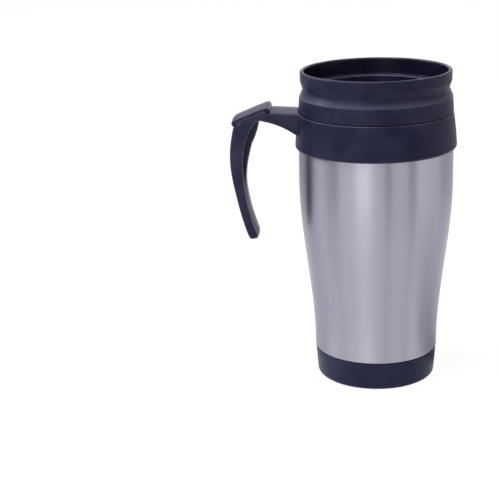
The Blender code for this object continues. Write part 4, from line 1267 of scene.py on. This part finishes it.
# %% [markdown]
# The paper glows where it is seen and takes the mug's shadow. It lies a hair below the rubber pad,
# because two faces at one height would show as specks from below.

# %% Floor
PAPER_R = 3.0
PAPER_DROP = 0.1 * MM


def disc(name, radius, segments):
    bm = bmesh.new()
    bmesh.ops.create_circle(bm, cap_ends=True, segments=segments, radius=radius)
    return written(bm, name)


mesh = disc("floor", PAPER_R, 96)
floor = bpy.data.objects.new("floor", mesh)
floor.location.z = -PAPER_DROP
bpy.context.scene.collection.objects.link(floor)
material = finish("white_paper", (0.86, 0.86, 0.87), 0.9)
glow = add(material, "ShaderNodeEmission", Color=(1, 1, 1), Strength=1.09)
share = maths(material, "MULTIPLY", seen_rays(material), 0.85)
blend(material, material.node_tree.nodes["Material Output"], share, shader_of(material), glow)
mesh.materials.append(material)
floor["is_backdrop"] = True
print("the paper is", 2 * PAPER_R, "m across")

# %% [markdown]
# Four softboxes light the mug. The one at the front draws the bright upright band on the steel, the
# key stands high at the front left and lights the plastic, and one at each side keeps it from going
# flat. Each is placed by its bearing, as on a compass around the mug.

# %% Softboxes
MUG_MIDDLE = (0, 0, 90 * MM)


def at_bearing(bearing, distance, height):
    """A place at a bearing from the camera's side, in degrees, clockwise from above."""
    angle = math.radians(bearing)
    return -distance * math.sin(angle), -distance * math.cos(angle), height


def aim(thing, place, target):
    thing.location = place
    thing.rotation_euler = (Vector(target) - Vector(place)).to_track_quat("-Z", "Y").to_euler()


def softbox(name, bearing, height, distance, width, tall, power):
    """A rectangular lamp turned to the middle of the mug."""
    data = bpy.data.lights.new(name, "AREA")
    data.shape = "RECTANGLE"
    data.size = width
    data.size_y = tall
    data.energy = power
    lamp = bpy.data.objects.new(name, data)
    bpy.context.scene.collection.objects.link(lamp)
    aim(lamp, at_bearing(bearing, distance, height), MUG_MIDDLE)


softbox("band_left", 17, 0.34, 0.9, 0.36, 0.68, 1.3)
softbox("key_above", 55, 1.5, 0.5, 0.6, 0.6, 17)
softbox("side_left", 98, 0.66, 0.8, 0.30, 0.20, 6)
softbox("fill_right", -70, 0.5, 1.0, 0.5, 0.8, 0.8)
print("softboxes:", len(bpy.data.lights))

# %% [markdown]
# Steel only looks like steel when it has something dark to reflect. Boards that stand around the mug
# give it its dark edges, and cards on the paper darken its foot. Neither shows to the camera, lights
# the mug or casts a shadow, so they work in reflections alone.

# %% Boards and cards
CARD_Z = 0.5 * MM


def dark_stage(name, mesh, grey):
    """A dark thing that shows only in a gloss."""
    thing = bpy.data.objects.new(name, mesh)
    bpy.context.scene.collection.objects.link(thing)
    mesh.materials.append(finish(name, (grey, grey, grey * 1.05), 0.9, specular=0.1))
    thing.visible_camera = False
    thing.visible_diffuse = False
    thing.visible_shadow = False
    thing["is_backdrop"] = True
    return thing


def board(name, bearing, distance, width, tall, grey):
    """A board that stands on the paper and faces the mug."""
    bm = bmesh.new()
    bmesh.ops.create_grid(bm, x_segments=1, y_segments=1, size=0.5)
    bmesh.ops.scale(bm, verts=bm.verts, vec=(width, tall, 1))
    thing = dark_stage(name, written(bm, name), grey)
    aim(thing, at_bearing(bearing, distance, tall / 2), (0, 0, tall / 2))


def card(name, bearing, distance, size, grey):
    """A round card that lies on the paper beside the mug."""
    thing = dark_stage(name, disc(name, size / 2, 48), grey)
    thing.location = at_bearing(bearing, distance, CARD_Z)


board("board_left", 80, 0.34, 0.34, 0.45, 0.45)
board("board_far_left", 128, 0.36, 0.34, 0.40, 0.55)
board("board_slim", -17, 0.38, 0.05, 0.30, 0.05)
board("board_right", -52, 0.38, 0.07, 0.30, 0.15)
board("board_far_right", -128, 0.36, 0.34, 0.45, 0.45)
card("card_left", 105, 0.13, 0.16, 0.60)
card("card_right", -112, 0.13, 0.18, 0.70)
bpy.context.scene.view_settings.view_transform = "Standard"

# %% The dressed box
low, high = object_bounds()
print("dressed box in mm:", [round((b - a) / MM, 1) for a, b in zip(low, high)])
